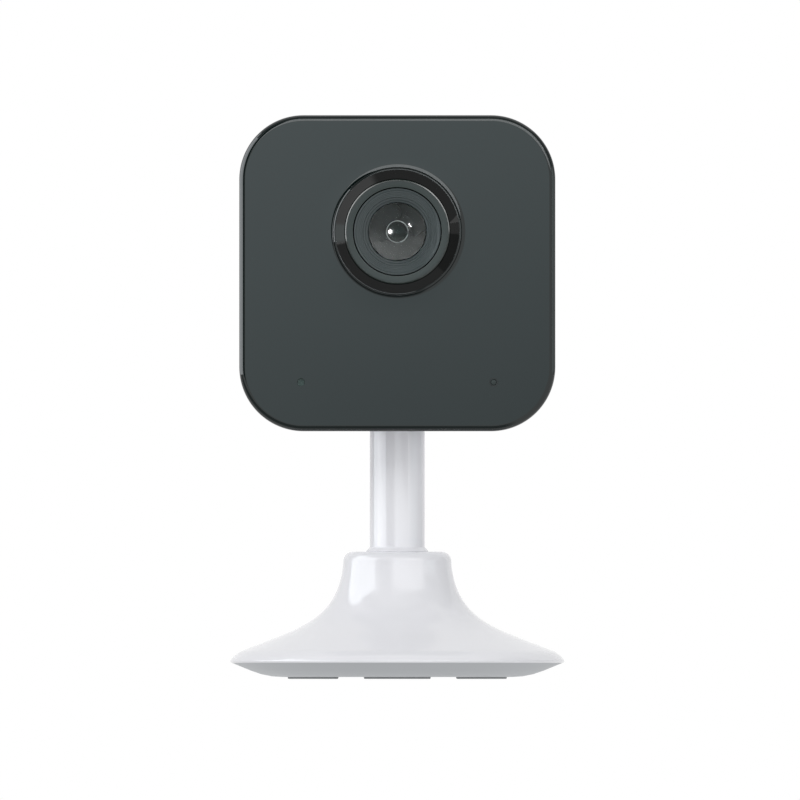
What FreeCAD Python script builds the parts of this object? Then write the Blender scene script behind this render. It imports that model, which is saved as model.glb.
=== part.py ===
import FreeCAD, Part
import math
import os

# A small indoor camera. A square head with rounded corners is hinged on a round stem, and the
# stem turns in a flared magnetic foot. The origin is the middle of the foot's underside, +Z is
# up, and the lens looks along -Y. All sizes are in millimetres.

V = FreeCAD.Vector

# ---- Whole object -----------------------------------------------------------------------------
foot_diameter = 62.0
foot_height = 23.6  # table to the flat top of the foot
stem_diameter = 10.2
stem_exposed = 22.3  # stem between the foot and the underside of the head
head_width = 58.6
head_height = 58.6
head_depth = 29.0
head_corner = 11.9
face_reach = 17.0  # front face ahead of the stem's axis
lens_rise = 7.7  # lens axis above the middle of the head

# ---- Fits -------------------------------------------------------------------------------------
running_gap = 0.05  # radial gap of a turning fit
seat_gap = 0.05  # between pieces that are pressed or clipped together
screw_gap = 0.2  # radial gap of a screw's clearance hole

# ---- Foot: the flared shell -------------------------------------------------------------------
foot_wall = 2.0
neck_radius = 10.0  # of the foot, under its rounded top edge
neck_edge_round = 1.9
neck_lean = math.radians(4.8)  # from the vertical
neck_pull = 9.4  # how far the neck keeps its direction
skirt_slope = math.radians(21.0)  # below the horizontal
skirt_pull = 8.2
skirt_straight = 5.0  # straight stretch between the flare and the rounded rim
rim_round_run = 2.4  # radial length of the rounded rim
rim_round_drop = 2.0
rim_height = 3.3
rim_land = 0.15
rim_lip = 1.4  # rim of the shell seen round the bottom cover
rim_lip_drop = 0.45
ledge_rise = 0.65  # ledge for the bottom cover above the widest circle
underside_slope = math.radians(19.0)

# ---- Foot: bottom cover, pads, magnet ---------------------------------------------------------
pad_proud = 0.35
pad_thick = 0.85
pad_outer = 20.8
pad_inner = 16.1
pad_arc = 34.6  # degrees
pad_count = 6
pad_gap = 0.1
cover_floor = 1.25
cover_rim_wall = 1.2
cover_seam_gap = 0.1
foot_screw_count = 3
foot_boss_radius = 2.5
foot_boss_stand = 2.8  # height of the shell's boss above the table
foot_screw_head = 1.9
foot_screw_head_thick = 1.2
foot_screw_length = 4.8
magnet_radius = 13.6
magnet_thick = 4.0
magnet_cup_wall = 1.3
cup_collar_wall = 0.8
cup_collar_height = 3.4

# ---- Swivel of the stem in the foot -----------------------------------------------------------
spindle_radius = 3.5
swivel_boss_radius = 6.5
swivel_stack_gap = 1.0  # screw head above the magnet cup
swivel_screw_head = 2.8
swivel_screw_head_thick = 2.0
swivel_screw_radius = 1.45
swivel_screw_length = 8.0
swivel_washer_radius = 6.0
swivel_washer_thick = 1.2
spring_thick = 0.4
spring_height = 0.8
spring_gap = 0.02
collar_flare = 1.0
collar_height = 0.8

# ---- Tilt hinge at the top of the stem --------------------------------------------------------
pivot_rise = 9.0  # hinge axis above the underside of the head
hinge_play = 0.1  # side play of the knuckle and a washer in the slot
hinge_pin_radius = 1.5
hinge_washer_thick = 1.0
hinge_washer_radius = 4.4
slot_side_gap = 0.5  # stem to the side of its slot
slot_crown_gap = 0.5
forward_tilt_room = 4.1  # free space ahead of the stem in the slot
slot_corner = 3.0  # of the slot's front end, seen from below
slot_wall = 1.6
hinge_boss_radius = 3.2
hinge_boss_length = 2.0
hinge_pin_short = 0.3  # skin left over each end of the pin's hole
hinge_press = 0.02  # radial gap of the pin in the shell

# ---- Head: dark front cover -------------------------------------------------------------------
front_plate = 2.0
front_side_depth = 5.0
side_wall = 1.8
front_edge_round = 1.1
mouth_radius = 12.25  # opening round the lens
mouth_edge_round = 0.5
eyelet_inset = 11.45  # microphone and lamp holes from the sides of the head
eyelet_rise = 9.1  # above the underside of the head
microphone_hole = 0.72
microphone_radius = 2.0
microphone_thick = 1.2
lamp_hole = 0.9
light_pipe_sunk = 0.15
light_pipe_flange = 0.7  # wider than the hole by this
light_pipe_flange_thick = 0.8
lamp_chip_width = 1.6
lamp_chip_height = 1.2
lamp_chip_gap = 0.3
infrared_package = 3.5
infrared_package_thick = 1.0
infrared_dome = 1.5
infrared_clear = 1.2  # between the bezel's flange and the lamp

# ---- Head: white rear shell -------------------------------------------------------------------
seam_gap = 0.3
shell_inset = 0.2
back_wall = 1.8
back_edge_round = 5.0
lip_reach = 1.7
lip_wall = 0.8
lip_gap = 0.1
lip_root = 1.6
corner_boss_inset = 8.8
corner_boss_radius = 2.5
corner_screw_radius = 1.0
corner_screw_head = 1.9
corner_screw_head_thick = 1.4
corner_screw_length = 8.0

# ---- Head: inner frame and lamp board ---------------------------------------------------------
lamp_board_setback = 4.6  # front plate's outer face to the board
board_thick = 1.0
lamp_board_margin = 5.3  # from the side walls
lamp_board_top = 11.6  # below the top of the head
lamp_board_foot = 4.6  # above the underside of the head
frame_setback = 7.8
frame_thick = 1.6
frame_margin = 1.0
frame_post_radius = 1.9
lamp_screw_rise = 17.8  # lower lamp board screws above the board's foot
lamp_screw_inset = 2.5
small_screw_radius = 0.8
small_screw_head = 1.5
small_screw_head_thick = 1.0
small_screw_length = 3.0

# ---- Lens ---------------------------------------------------------------------------------------
lens_setback = 1.6  # lens ring behind the front face
lens_tube_gap = 0.4
lens_ring_radius = 9.73
lens_ring_thick = 2.2
lens_ring_round = 0.35
lens_groove_radius = 8.25
lens_groove_width = 0.2
lens_groove_depth = 0.6
retainer_step_count = 5
retainer_sunk = 0.1
retainer_depth = 1.5
retainer_land = 0.25
retainer_edge = 0.35
front_glass_radius = 5.35
front_glass_curve = 10.0
front_glass_edge = 1.1
front_glass_hollow = 5.0
front_glass_hollow_depth = 1.4
glass_seat = 0.4
barrel_waist = 7.4
barrel_waist_length = 3.6
barrel_thread = 6.0
stop_radius = 1.95
stop_bevel = 0.9
stop_thick = 0.8
middle_glass_radius = 4.4
middle_glass_edge = 1.4
middle_glass_hollow = 16.0
middle_glass_dome = 9.0
rear_glass_radius = 3.6
rear_glass_edge = 1.2
rear_glass_hollow = 12.0
rear_glass_dome = 11.0
rear_glass_sunk = 1.2  # behind it to the end of the barrel
glass_rim = 0.9  # flat rim of the inner glasses
bezel_top_gap = 0.2  # bezel below the front face
bezel_gap = 0.15  # radial gap of the bezel in the mouth
bezel_edge = 0.2
bezel_land = 0.55
bezel_throat_gap = 0.27  # round the lens ring
bezel_depth = 2.9
bezel_skirt = 1.0
bezel_skirt_taper = 0.6
bezel_bow = 0.72  # how far across the bowl's wall has moved in at its bend
bezel_bow_depth = 0.36
bezel_flange = 14.2
bezel_flange_thick = 1.0

# ---- Lens holder, filter switch and sensor ----------------------------------------------------
holder_tube = 7.5
holder_width = 26.0
holder_height = 20.0
holder_depth = 4.5
holder_front_wall = 1.5
holder_screw_x = 10.6
holder_screw_z = 7.5
filter_frame_width = 13.0
filter_frame_height = 7.0
filter_frame_thick = 0.8
filter_window = 4.6
filter_glass = 5.4
filter_glass_thick = 0.5
filter_shift = 6.2
filter_gap = 0.2
filter_cover_thick = 0.3
filter_cover_border = 1.6
holder_tube_reach = 1.0  # tube ahead of the frame's back
coil_radius = 2.2
coil_core_radius = 1.8
coil_length = 3.0
coil_flange_thick = 0.5
coil_edge = 0.4
coil_clear = 0.4  # round the coil in the inner frame
sensor_width = 7.0
sensor_height = 6.0
sensor_thick = 0.9
sensor_board_size = 26.0

# ---- Main board and what stands on it ---------------------------------------------------------
main_board_gap = 4.4  # board to the back wall
main_board_thick = 1.2
main_board_margin = 2.3
main_board_top = 4.8  # above the card socket and the shield can
main_board_foot = 3.5  # above the underside of the head
boss_clear = 0.7  # round the corner bosses that pass the main board
standoff_clear = 3.6  # lower standoffs outside the hinge pin's bosses
standoff_rise = 2.4
standoff_inset = 3.0
standoff_drop = 2.2
stack_gap = 2.6  # between the sensor board and the main board
connector_width = 12.0
connector_height = 4.0
connector_edge = 1.0
port_inset = 5.5  # power socket and reset button from the corner bosses, towards the middle
port_rise = 12.1  # above the underside of the head
socket_width = 7.6
socket_height = 2.8
socket_wall = 0.35
socket_floor = 1.2
socket_sunk = 0.1
socket_gap = 0.2
tongue_width = 4.4
tongue_thick = 0.7
tongue_sunk = 1.0
reset_radius = 1.7
reset_gap = 0.1
reset_sunk = 0.2
reset_travel = 0.4
reset_flange = 2.5
reset_flange_thick = 0.7
reset_edge_round = 0.3
switch_size = 4.0
switch_height = 2.0
switch_well = 1.2
plunger_radius = 0.9
plunger_seat = 0.6
card_width = 14.0
card_length = 15.0
card_thick = 1.5
card_rise = 21.8  # middle of the card slot above the underside of the head
card_edge = 0.3  # socket mouth inside the side wall
card_side = 0.9
card_skin = 0.25
card_stop = 1.5
card_slot_gap = 0.2
shield_width = 18.0
shield_height = 11.0
shield_thick = 1.8
shield_sheet = 0.3
shield_inset = 3.0  # from the edge of the main board
shield_clear = 0.6
chip_size = 9.0
chip_thick = 1.0
radio_width = 12.0
radio_height = 10.0
radio_thick = 1.0
radio_sunk = 1.0  # below the notch's top

# ---- Speaker ------------------------------------------------------------------------------------
speaker_radius = 9.0
speaker_depth = 4.2
speaker_flange_thick = 1.4
speaker_body_radius = 6.8
speaker_wall = 0.5
speaker_seat_wall = 0.85
speaker_seat_gap = 0.15
speaker_seat_short = 0.6
speaker_magnet_radius = 4.5
speaker_magnet_thick = 1.6
cone_rim_radius = 6.1
cone_waist_radius = 3.0
cone_thick = 0.4
cone_sunk = 0.5
cone_dip = 0.6
gasket_thick = 0.5
gasket_width = 1.2
grille_hole = 0.6
grille_pitch = 2.3
grille_rings = 3
antenna_length = 28.0
antenna_width = 6.0
antenna_thick = 0.3
antenna_setback = 1.5  # behind the inner frame
ribbon_inset = 4.65  # from the corner bosses, towards the middle
ribbon_width = 8.0
ribbon_thick = 0.3
ribbon_socket_side = 0.8
ribbon_socket_height = 2.0
ribbon_socket_thick = 1.2
ribbon_room = 1.0

# ---- Places worked out from the sizes above ---------------------------------------------------
foot_radius = foot_diameter / 2
rim_low = rim_height - rim_land
seam_radius = foot_radius - rim_lip
seam_z = rim_low - rim_lip_drop
ledge_z = rim_height + ledge_rise
stem_radius = stem_diameter / 2
head_bottom = foot_height + stem_exposed
head_middle = head_bottom + head_height / 2
face_y = -face_reach
back_y = face_y + head_depth
back_inner_y = back_y - back_wall
lens_z = head_middle + lens_rise
plate_back_y = face_y + front_plate
seam_y = face_y + front_side_depth
shell_front_y = seam_y + seam_gap
shell_width = head_width - 2 * shell_inset
shell_height = head_height - 2 * shell_inset
shell_corner = head_corner - shell_inset
cavity_width = shell_width - 2 * side_wall
cavity_height = shell_height - 2 * side_wall
cavity_corner = shell_corner - side_wall
lip_width = head_width - 2 * side_wall - 2 * lip_gap
lip_height = head_height - 2 * side_wall - 2 * lip_gap
lip_corner = head_corner - side_wall - lip_gap

cup_bottom = pad_proud + cover_floor
cup_radius = magnet_radius + seat_gap + magnet_cup_wall
cup_top = cup_bottom + magnet_thick + magnet_cup_wall
spindle_end = cup_top + swivel_stack_gap + swivel_screw_head_thick + swivel_washer_thick
foot_screw_ring = (pad_outer + pad_inner) / 2

pivot_z = head_bottom + pivot_rise
slot_half_width = stem_radius + slot_side_gap
knuckle_half_width = slot_half_width - hinge_washer_thick - hinge_play
slot_front_y = -stem_radius - forward_tilt_room
slot_top = pivot_z + stem_radius + slot_crown_gap
pocket_half_width = slot_half_width + slot_wall
pocket_front_y = slot_front_y - slot_wall
pocket_top = slot_top + slot_wall
boss_reach = pocket_half_width + hinge_boss_length
boss_top = pivot_z + hinge_boss_radius
pin_reach = boss_reach - hinge_pin_short
notch_half_width = pocket_half_width + frame_margin
notch_top = pocket_top + frame_margin

lamp_board_y = face_y + lamp_board_setback
frame_y = face_y + frame_setback
frame_back_y = frame_y + frame_thick
main_board_back_y = back_inner_y - main_board_gap
main_board_y = main_board_back_y - main_board_thick
sensor_board_y = main_board_y - stack_gap - main_board_thick
holder_y = sensor_board_y - holder_depth
lamp_board_back_y = lamp_board_y + board_thick
lamp_board_low = head_bottom + lamp_board_foot
lamp_board_high = head_middle + head_height / 2 - lamp_board_top
lamp_board_half = cavity_width / 2 - lamp_board_margin
card_z = head_bottom + card_rise
shield_z = notch_top + shield_clear + shield_height / 2
stack_top = max(card_z + card_width / 2, shield_z + shield_height / 2)
flat_top = head_middle + cavity_height / 2 - back_edge_round + back_wall
main_board_low = head_bottom + main_board_foot
main_board_high = stack_top + main_board_top
main_board_half = cavity_width / 2 - main_board_margin
shield_x = -(main_board_half - shield_inset - shield_width / 2)
lens_ring_y = face_y + lens_setback
bezel_throat = lens_ring_radius + bezel_throat_gap
glass_front_y = lens_ring_y + retainer_sunk + retainer_depth
glass_back_y = glass_front_y + front_glass_edge
middle_glass_y = glass_back_y + stop_thick + seat_gap
filter_y = holder_y + holder_front_wall + filter_gap
filter_room = (filter_frame_width + filter_shift) / 2 + filter_gap
corner_boss_x = head_width / 2 - corner_boss_inset
corner_boss_dz = head_height / 2 - corner_boss_inset
port_offset = corner_boss_x - port_inset
port_z = head_bottom + port_rise
eyelet_offset = head_width / 2 - eyelet_inset
eyelet_z = head_bottom + eyelet_rise
speaker_z = (stack_top + flat_top) / 2  # in the middle of the flat room above the sockets
speaker_back_y = back_inner_y - gasket_thick
speaker_front_y = back_inner_y - speaker_depth
ribbon_offset = corner_boss_x - ribbon_inset
ribbon_z = notch_top
coil_x = holder_width / 2 - coil_radius - coil_edge
rod_end_y = main_board_back_y + switch_height + reset_travel + seat_gap


# ---- Helpers ------------------------------------------------------------------------------------
def line(start, end):
    """A straight edge."""
    return Part.LineSegment(start, end).toShape()


def box(x0, x1, y0, y1, z0, z1):
    """A block between two corners."""
    return Part.makeBox(x1 - x0, y1 - y0, z1 - z0, V(x0, y0, z0))


def rod_x(radius, x0, x1, y, z):
    """A round bar along X."""
    return Part.makeCylinder(radius, x1 - x0, V(x0, y, z), V(1, 0, 0))


def rod_y(radius, y0, y1, x, z):
    """A round bar along Y."""
    return Part.makeCylinder(radius, y1 - y0, V(x, y0, z), V(0, 1, 0))


def rod_z(radius, z0, z1, x=0.0, y=0.0):
    """A round bar along Z."""
    return Part.makeCylinder(radius, z1 - z0, V(x, y, z0), V(0, 0, 1))


def lathe_z(points):
    """A turned piece about the stem's axis, from (radius, z) points."""
    corners = [V(radius, 0, z) for radius, z in points]
    face = Part.Face(Part.makePolygon(corners + corners[:1]))
    return face.revolve(V(0, 0, 0), V(0, 0, 1), 360)


def lathe_y(points, x=0.0, z=lens_z):
    """A turned piece about an axis along Y, from (radius, y) points; the lens axis by default."""
    corners = [V(x + radius, y, z) for radius, y in points]
    face = Part.Face(Part.makePolygon(corners + corners[:1]))
    return face.revolve(V(x, 0, z), V(0, 1, 0), 360)


def rounded_slab(width, height, corner, y0, y1, x=0.0, z=head_middle):
    """A slab facing along Y whose outline is a rectangle with round corners."""
    slab = box(x - width / 2, x + width / 2, y0, y1, z - height / 2, z + height / 2)
    return soften_along(slab, corner, V(0, 1, 0))


def stadium(width, height, y0, y1, x, z):
    """A slab along Y with half-round ends."""
    reach, radius = (width - height) / 2, height / 2
    middle = box(x - reach, x + reach, y0, y1, z - radius, z + radius)
    return joined([middle, rod_y(radius, y0, y1, x - reach, z), rod_y(radius, y0, y1, x + reach, z)])


def both_sides(shape):
    """The shape and its mirror image across the middle of the camera."""
    return [shape, shape.mirror(V(0, 0, 0), V(1, 0, 0))]


def soften_along(shape, radius, direction):
    """Rounds every straight edge of the shape that runs along that direction."""
    sides = [e for e in shape.Edges if abs(abs(e.tangentAt(e.FirstParameter).dot(direction)) - 1) < 1e-6]
    return shape.makeFillet(radius, sides)


def soften(shape, radius, y):
    """Rounds every edge of the shape that lies in the plane at that y."""
    rim = [e for e in shape.Edges if abs(e.BoundBox.YMin - y) < 1e-6 and abs(e.BoundBox.YMax - y) < 1e-6]
    return shape.makeFillet(radius, rim)


def joined(shapes):
    """One solid from shapes that overlap."""
    first, *rest = shapes
    return first.fuse(rest).removeSplitter()


def four_corners(dx, dz, z=head_middle):
    """The four (x, z) places at the corners of a rectangle round the middle."""
    return [(sx * dx, z + sz * dz) for sx in (-1, 1) for sz in (-1, 1)]


def screw(head_radius, head_thick, shank_radius, length):
    """A pan-head cross-recess screw: the shank runs along +Y from the origin, the head along -Y."""
    crown = head_radius * 0.72
    profile = [
        V(0, -head_thick, 0),
        V(crown, -head_thick, 0),
        V(head_radius, -head_thick * 0.45, 0),
        V(head_radius, 0, 0),
        V(shank_radius, 0, 0),
        V(shank_radius, length - shank_radius, 0),
        V(shank_radius * 0.35, length, 0),
        V(0, length, 0),
    ]
    body = Part.Face(Part.makePolygon(profile + profile[:1])).revolve(V(0, 0, 0), V(0, 1, 0), 360)
    slot_long, slot_wide, slot_deep = head_radius * 0.6, head_radius * 0.16, head_thick * 0.55
    bars = [
        box(-slot_long, slot_long, -head_thick, -head_thick + slot_deep, -slot_wide, slot_wide),
        box(-slot_wide, slot_wide, -head_thick, -head_thick + slot_deep, -slot_long, slot_long),
    ]
    return body.cut(bars)


def placed(shape, x, y, z):
    """A copy of the shape moved by that much."""
    return shape.translated(V(x, y, z))


def pointing_up(shape):
    """Turns a piece made along +Y so that it runs along +Z."""
    return shape.rotated(V(0, 0, 0), V(1, 0, 0), 90)


def around_foot(count, radius):
    """(x, y) of equally spaced places round the foot, the first one in front."""
    angles = [2 * math.pi * i / count for i in range(count)]
    return [(radius * math.sin(a), -radius * math.cos(a)) for a in angles]


# ---- Foot ---------------------------------------------------------------------------------------
def flare_edges(inward):
    """The flared outside of the foot moved inward by a wall: neck, flare and straight skirt.

    Returns the edges from the neck down, and the skirt's lower end.
    """
    across, down = math.cos(skirt_slope), math.sin(skirt_slope)
    rim_start = foot_radius - rim_round_run
    skirt_end = V(rim_start - inward * down, 0, rim_height + rim_round_drop - inward * across)
    skirt_start = skirt_end + V(-across, 0, down) * skirt_straight
    neck = V(neck_radius - inward, 0, foot_height - neck_edge_round)
    poles = [
        neck,
        neck + V(math.sin(neck_lean), 0, -math.cos(neck_lean)) * neck_pull,
        skirt_start + V(-across, 0, down) * skirt_pull,
        skirt_start,
    ]
    flare = Part.BezierCurve()
    flare.setPoles(poles)
    return [flare.toShape(), line(skirt_start, skirt_end)], neck, skirt_end


def rim_arc(start):
    """The rounded rim: an arc that leaves the skirt smoothly and ends on the widest circle."""
    end = V(foot_radius, 0, rim_height)
    along = V(math.cos(skirt_slope), 0, -math.sin(skirt_slope))
    inward = V(along.z, 0, -along.x)
    chord = end - start
    radius = chord.Length ** 2 / (2 * abs(chord.dot(inward)))
    centre = start + inward * radius
    middle = (start + end) * 0.5 - centre
    middle.normalize()
    return Part.Arc(start, centre + middle * radius, end).toShape(), end


def turned_z(edges):
    """A turned piece about the stem's axis, from a closed run of edges in the XZ plane."""
    return Part.Face(Part.Wire(edges)).revolve(V(0, 0, 0), V(0, 0, 1), 360)


def foot_form(inner_radius, low):
    """The foot's outer form, filled in down to a height no higher than its seam."""
    edges, neck, skirt_end = flare_edges(0.0)
    arc, rim = rim_arc(skirt_end)
    bend = neck_edge_round * (1 - math.sqrt(0.5))  # a quarter circle's middle from its corner
    top_corner = V(neck_radius - neck_edge_round, 0, foot_height)
    edge_mid = V(neck_radius - bend, 0, foot_height - bend)
    corners = [
        rim,
        V(foot_radius, 0, rim_low),
        V(seam_radius, 0, seam_z),
        V(seam_radius, 0, low),
        V(inner_radius, 0, low),
        V(inner_radius, 0, foot_height),
        top_corner,
    ]
    sides = [line(a, b) for a, b in zip(corners, corners[1:]) if a != b]
    return turned_z([Part.Arc(top_corner, edge_mid, neck).toShape(), *edges, arc, *sides])


def base_shell():
    """The white flared shell with its swivel boss and three screw bosses."""
    edges, neck, skirt_end = flare_edges(foot_wall)
    slope_run = (skirt_end.z - ledge_z) / math.tan(skirt_slope)
    crown_z = foot_height - foot_wall
    corners = [
        skirt_end,
        V(skirt_end.x + slope_run, 0, ledge_z),
        V(seam_radius, 0, ledge_z),
        V(seam_radius, 0, 0),
        V(swivel_boss_radius, 0, 0),
        V(swivel_boss_radius, 0, crown_z),
        V(neck.x, 0, crown_z),
        neck,
    ]
    hollow = turned_z(edges + [line(a, b) for a, b in zip(corners, corners[1:])])
    under_boss = rod_z(swivel_boss_radius, 0, spindle_end + spring_height)
    shell = foot_form(spindle_radius + running_gap, seam_z).cut([hollow, under_boss])
    places = around_foot(foot_screw_count, foot_screw_ring)
    trim = foot_form(0.0, 0.0)
    bosses = [rod_z(foot_boss_radius, foot_boss_stand, foot_height, x, y).common(trim) for x, y in places]
    pilots = [rod_z(corner_screw_radius, 0, foot_boss_stand + foot_screw_length, x, y) for x, y in places]
    return joined([shell, *bosses]).cut(pilots)


def base_bottom_cover():
    """The shallow dish that closes the foot, with a collar for the magnet and pad recesses."""
    outer = seam_radius - cover_seam_gap
    flat = outer - (seam_z - pad_proud) / math.tan(underside_slope)
    rim_top = ledge_z - seat_gap
    dish = lathe_z([
        (0, pad_proud),
        (flat, pad_proud),
        (outer, seam_z),
        (outer, rim_top),
        (outer - cover_rim_wall, rim_top),
        (outer - cover_rim_wall, seam_z + cover_floor * 0.5),
        (flat, cup_bottom),
        (0, cup_bottom),
    ])
    magnet_room = rod_z(cup_radius + seat_gap, cup_bottom, cup_top)
    sunk = cup_bottom - cover_floor / 4
    collar = rod_z(cup_radius + seat_gap + cup_collar_wall, sunk, cup_bottom + cup_collar_height)
    places = around_foot(foot_screw_count, foot_screw_ring)
    stands = [rod_z(foot_boss_radius, sunk, foot_boss_stand, x, y) for x, y in places]
    dish = joined([dish, collar, *stands]).cut(magnet_room)
    cuts = [pad_solid(i, pad_gap, 0.0) for i in range(pad_count)]
    head_seat = pad_thick + foot_screw_head_thick + seat_gap
    for x, y in places:
        cuts.append(rod_z(corner_screw_radius + screw_gap, 0, foot_boss_stand + 1, x, y))
        cuts.append(rod_z(foot_screw_head + screw_gap, 0, head_seat, x, y))
    return dish.cut(cuts)


def pad_solid(index, grow, low):
    """One arc-shaped pad, grown sideways by a gap to make its recess."""
    inner, outer = pad_inner - grow, pad_outer + grow
    spread = pad_arc + math.degrees(2 * grow / pad_outer)
    ring = rod_z(outer, low, pad_thick).cut(rod_z(inner, low, pad_thick))
    wedge = Part.makeCylinder(outer + 1, pad_thick - low, V(0, 0, low), V(0, 0, 1), spread)
    turn = -90.0 - spread / 2 + 360.0 * index / pad_count
    return ring.common(wedge.rotated(V(0, 0, 0), V(0, 0, 1), turn))


def foot_pads():
    """Six arc-shaped rubber pads."""
    return Part.makeCompound([pad_solid(i, 0.0, 0.0) for i in range(pad_count)])


def base_screws():
    """Three screws that hold the bottom cover, hidden by the pads."""
    shank = corner_screw_radius - seat_gap
    one = pointing_up(screw(foot_screw_head, foot_screw_head_thick, shank, foot_screw_length))
    seat = pad_thick + foot_screw_head_thick + seat_gap
    places = around_foot(foot_screw_count, foot_screw_ring)
    return Part.makeCompound([placed(one, x, y, seat) for x, y in places])


def magnet_cup():
    """The steel cup round the magnet, open downwards."""
    cup = rod_z(cup_radius, cup_bottom, cup_top)
    return cup.cut(rod_z(magnet_radius + seat_gap, cup_bottom, cup_bottom + magnet_thick))


def base_magnet():
    """The disc magnet."""
    return rod_z(magnet_radius, cup_bottom, cup_bottom + magnet_thick)


# ---- Stem and its swivel ----------------------------------------------------------------------
def stem():
    """The round stem: spindle in the foot, small collar, shaft and hinge knuckle."""
    pieces = [
        rod_z(spindle_radius, spindle_end, foot_height + collar_height),
        lathe_z([
            (0, foot_height),
            (stem_radius + collar_flare, foot_height),
            (stem_radius, foot_height + collar_height),
            (0, foot_height + collar_height),
        ]),
        rod_z(stem_radius, foot_height + collar_height * 0.5, pivot_z),
        rod_x(stem_radius, -knuckle_half_width, knuckle_half_width, 0, pivot_z),
    ]
    half = stem_radius + 1
    shoulder = box(knuckle_half_width, half, -half, half, pivot_z - stem_radius, pivot_z + half)
    pin_hole = rod_x(hinge_pin_radius + running_gap, -half, half, 0, pivot_z)
    pilot = rod_z(swivel_screw_radius + seat_gap, 0, spindle_end + swivel_screw_length)
    return joined(pieces).cut([*both_sides(shoulder), pin_hole, pilot])


def swivel_spring():
    """A conical spring washer under the foot's boss."""
    inner, outer = spindle_radius + screw_gap, swivel_washer_radius + screw_gap
    low, high = spindle_end + spring_gap, spindle_end + spring_height - spring_gap
    return lathe_z([
        (inner, low),
        (outer, high - spring_thick),
        (outer, high),
        (inner, low + spring_thick),
    ])


def swivel_washer():
    """The flat washer screwed to the end of the spindle."""
    ring = rod_z(swivel_washer_radius, spindle_end - swivel_washer_thick, spindle_end)
    return ring.cut(rod_z(swivel_screw_radius + screw_gap, 0, spindle_end + 1))


def swivel_screw():
    """The screw that holds the stem in the foot."""
    one = screw(swivel_screw_head, swivel_screw_head_thick, swivel_screw_radius, swivel_screw_length)
    return placed(pointing_up(one), 0, 0, spindle_end - swivel_washer_thick)


def hinge_washers():
    """Two friction washers beside the knuckle."""
    start = (slot_half_width + knuckle_half_width - hinge_washer_thick) / 2
    ring = rod_x(hinge_washer_radius, start, start + hinge_washer_thick, 0, pivot_z)
    ring = ring.cut(rod_x(hinge_pin_radius + seat_gap, 0, pin_reach, 0, pivot_z))
    return Part.makeCompound(both_sides(ring))


def hinge_pin():
    """The steel pin of the tilt hinge."""
    return rod_x(hinge_pin_radius, -pin_reach, pin_reach, 0, pivot_z)


# ---- Front of the head ------------------------------------------------------------------------
def front_cover():
    """The dark glossy cover: face plate, side wall, lens mouth and two eyelets."""
    body = rounded_slab(head_width, head_height, head_corner, face_y, seam_y)
    body = soften(body, front_edge_round, face_y)
    inside = rounded_slab(head_width - 2 * side_wall, head_height - 2 * side_wall, head_corner - side_wall,
                          plate_back_y, seam_y + 1)
    body = body.cut([
        inside,
        rod_y(microphone_hole, face_y - 1, seam_y, -eyelet_offset, eyelet_z),
        rod_y(lamp_hole, face_y - 1, seam_y, eyelet_offset, eyelet_z),
    ])
    mouth_front = face_y + mouth_edge_round
    mouth = joined([
        rod_y(mouth_radius, face_y - 1, seam_y, 0, lens_z),
        rod_y(mouth_radius + mouth_edge_round, face_y - 1, mouth_front, 0, lens_z),
    ])
    centre = V(0, mouth_front, lens_z)
    lip = Part.makeTorus(mouth_radius + mouth_edge_round, mouth_edge_round, centre, V(0, 1, 0))
    return body.cut(mouth.cut(lip))


def lens_bezel():
    """The glossy black bowl between the face and the lens."""
    outer = mouth_radius - bezel_gap
    top = face_y + bezel_top_gap
    flange_end = plate_back_y + bezel_flange_thick
    throat_y = face_y + bezel_depth
    inner_top = outer - bezel_land
    wall_start, wall_end = V(inner_top, top, 0), V(bezel_throat, throat_y, 0)
    sag = V(inner_top - (inner_top - bezel_throat) * bezel_bow, top + (throat_y - top) * bezel_bow_depth, 0)
    tail = throat_y + bezel_skirt
    corners = [
        V(outer, top + bezel_edge, 0),
        V(outer, plate_back_y, 0),
        V(bezel_flange, plate_back_y, 0),
        V(bezel_flange, flange_end, 0),
        V(outer, flange_end, 0),
        V(outer - bezel_skirt_taper, tail, 0),
        V(bezel_throat, tail, 0),
        wall_end,
    ]
    edges = [line(a, b) for a, b in zip(corners, corners[1:])]
    edges.append(Part.Arc(wall_end, sag, wall_start).toShape())
    edges.append(line(wall_start, V(outer - bezel_edge, top, 0)))
    edges.append(line(V(outer - bezel_edge, top, 0), corners[0]))
    ring = Part.Face(Part.Wire(edges)).revolve(V(0, 0, 0), V(0, 1, 0), 360)
    return placed(ring, 0, 0, lens_z)


# ---- Lens ---------------------------------------------------------------------------------------
def lens_barrel():
    """The lens barrel: wide front ring, waist and threaded tail, bored for the glasses."""
    ring_back = lens_ring_y + lens_ring_thick
    waist_back = ring_back + barrel_waist_length
    tail = holder_y - 0.2
    body = joined([
        soften(rod_y(lens_ring_radius, lens_ring_y, ring_back, 0, lens_z), lens_ring_round, lens_ring_y),
        rod_y(barrel_waist, ring_back - 0.1, waist_back, 0, lens_z),
        rod_y(barrel_thread - running_gap, waist_back - 0.1, tail, 0, lens_z),
    ])
    groove_in = lens_groove_radius - lens_groove_width
    glass_bore = front_glass_radius + glass_seat
    cuts = [
        rod_y(lens_groove_radius, lens_ring_y - 1, lens_ring_y + lens_groove_depth, 0, lens_z),
        rod_y(groove_in, lens_ring_y - 1, glass_front_y, 0, lens_z),
        rod_y(glass_bore, lens_ring_y, glass_back_y, 0, lens_z),
        rod_y(middle_glass_radius + seat_gap, glass_front_y, middle_glass_y + middle_glass_edge, 0, lens_z),
        rod_y(rear_glass_radius + seat_gap, glass_front_y, tail + 1, 0, lens_z),
    ]
    return body.cut(cuts)


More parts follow.
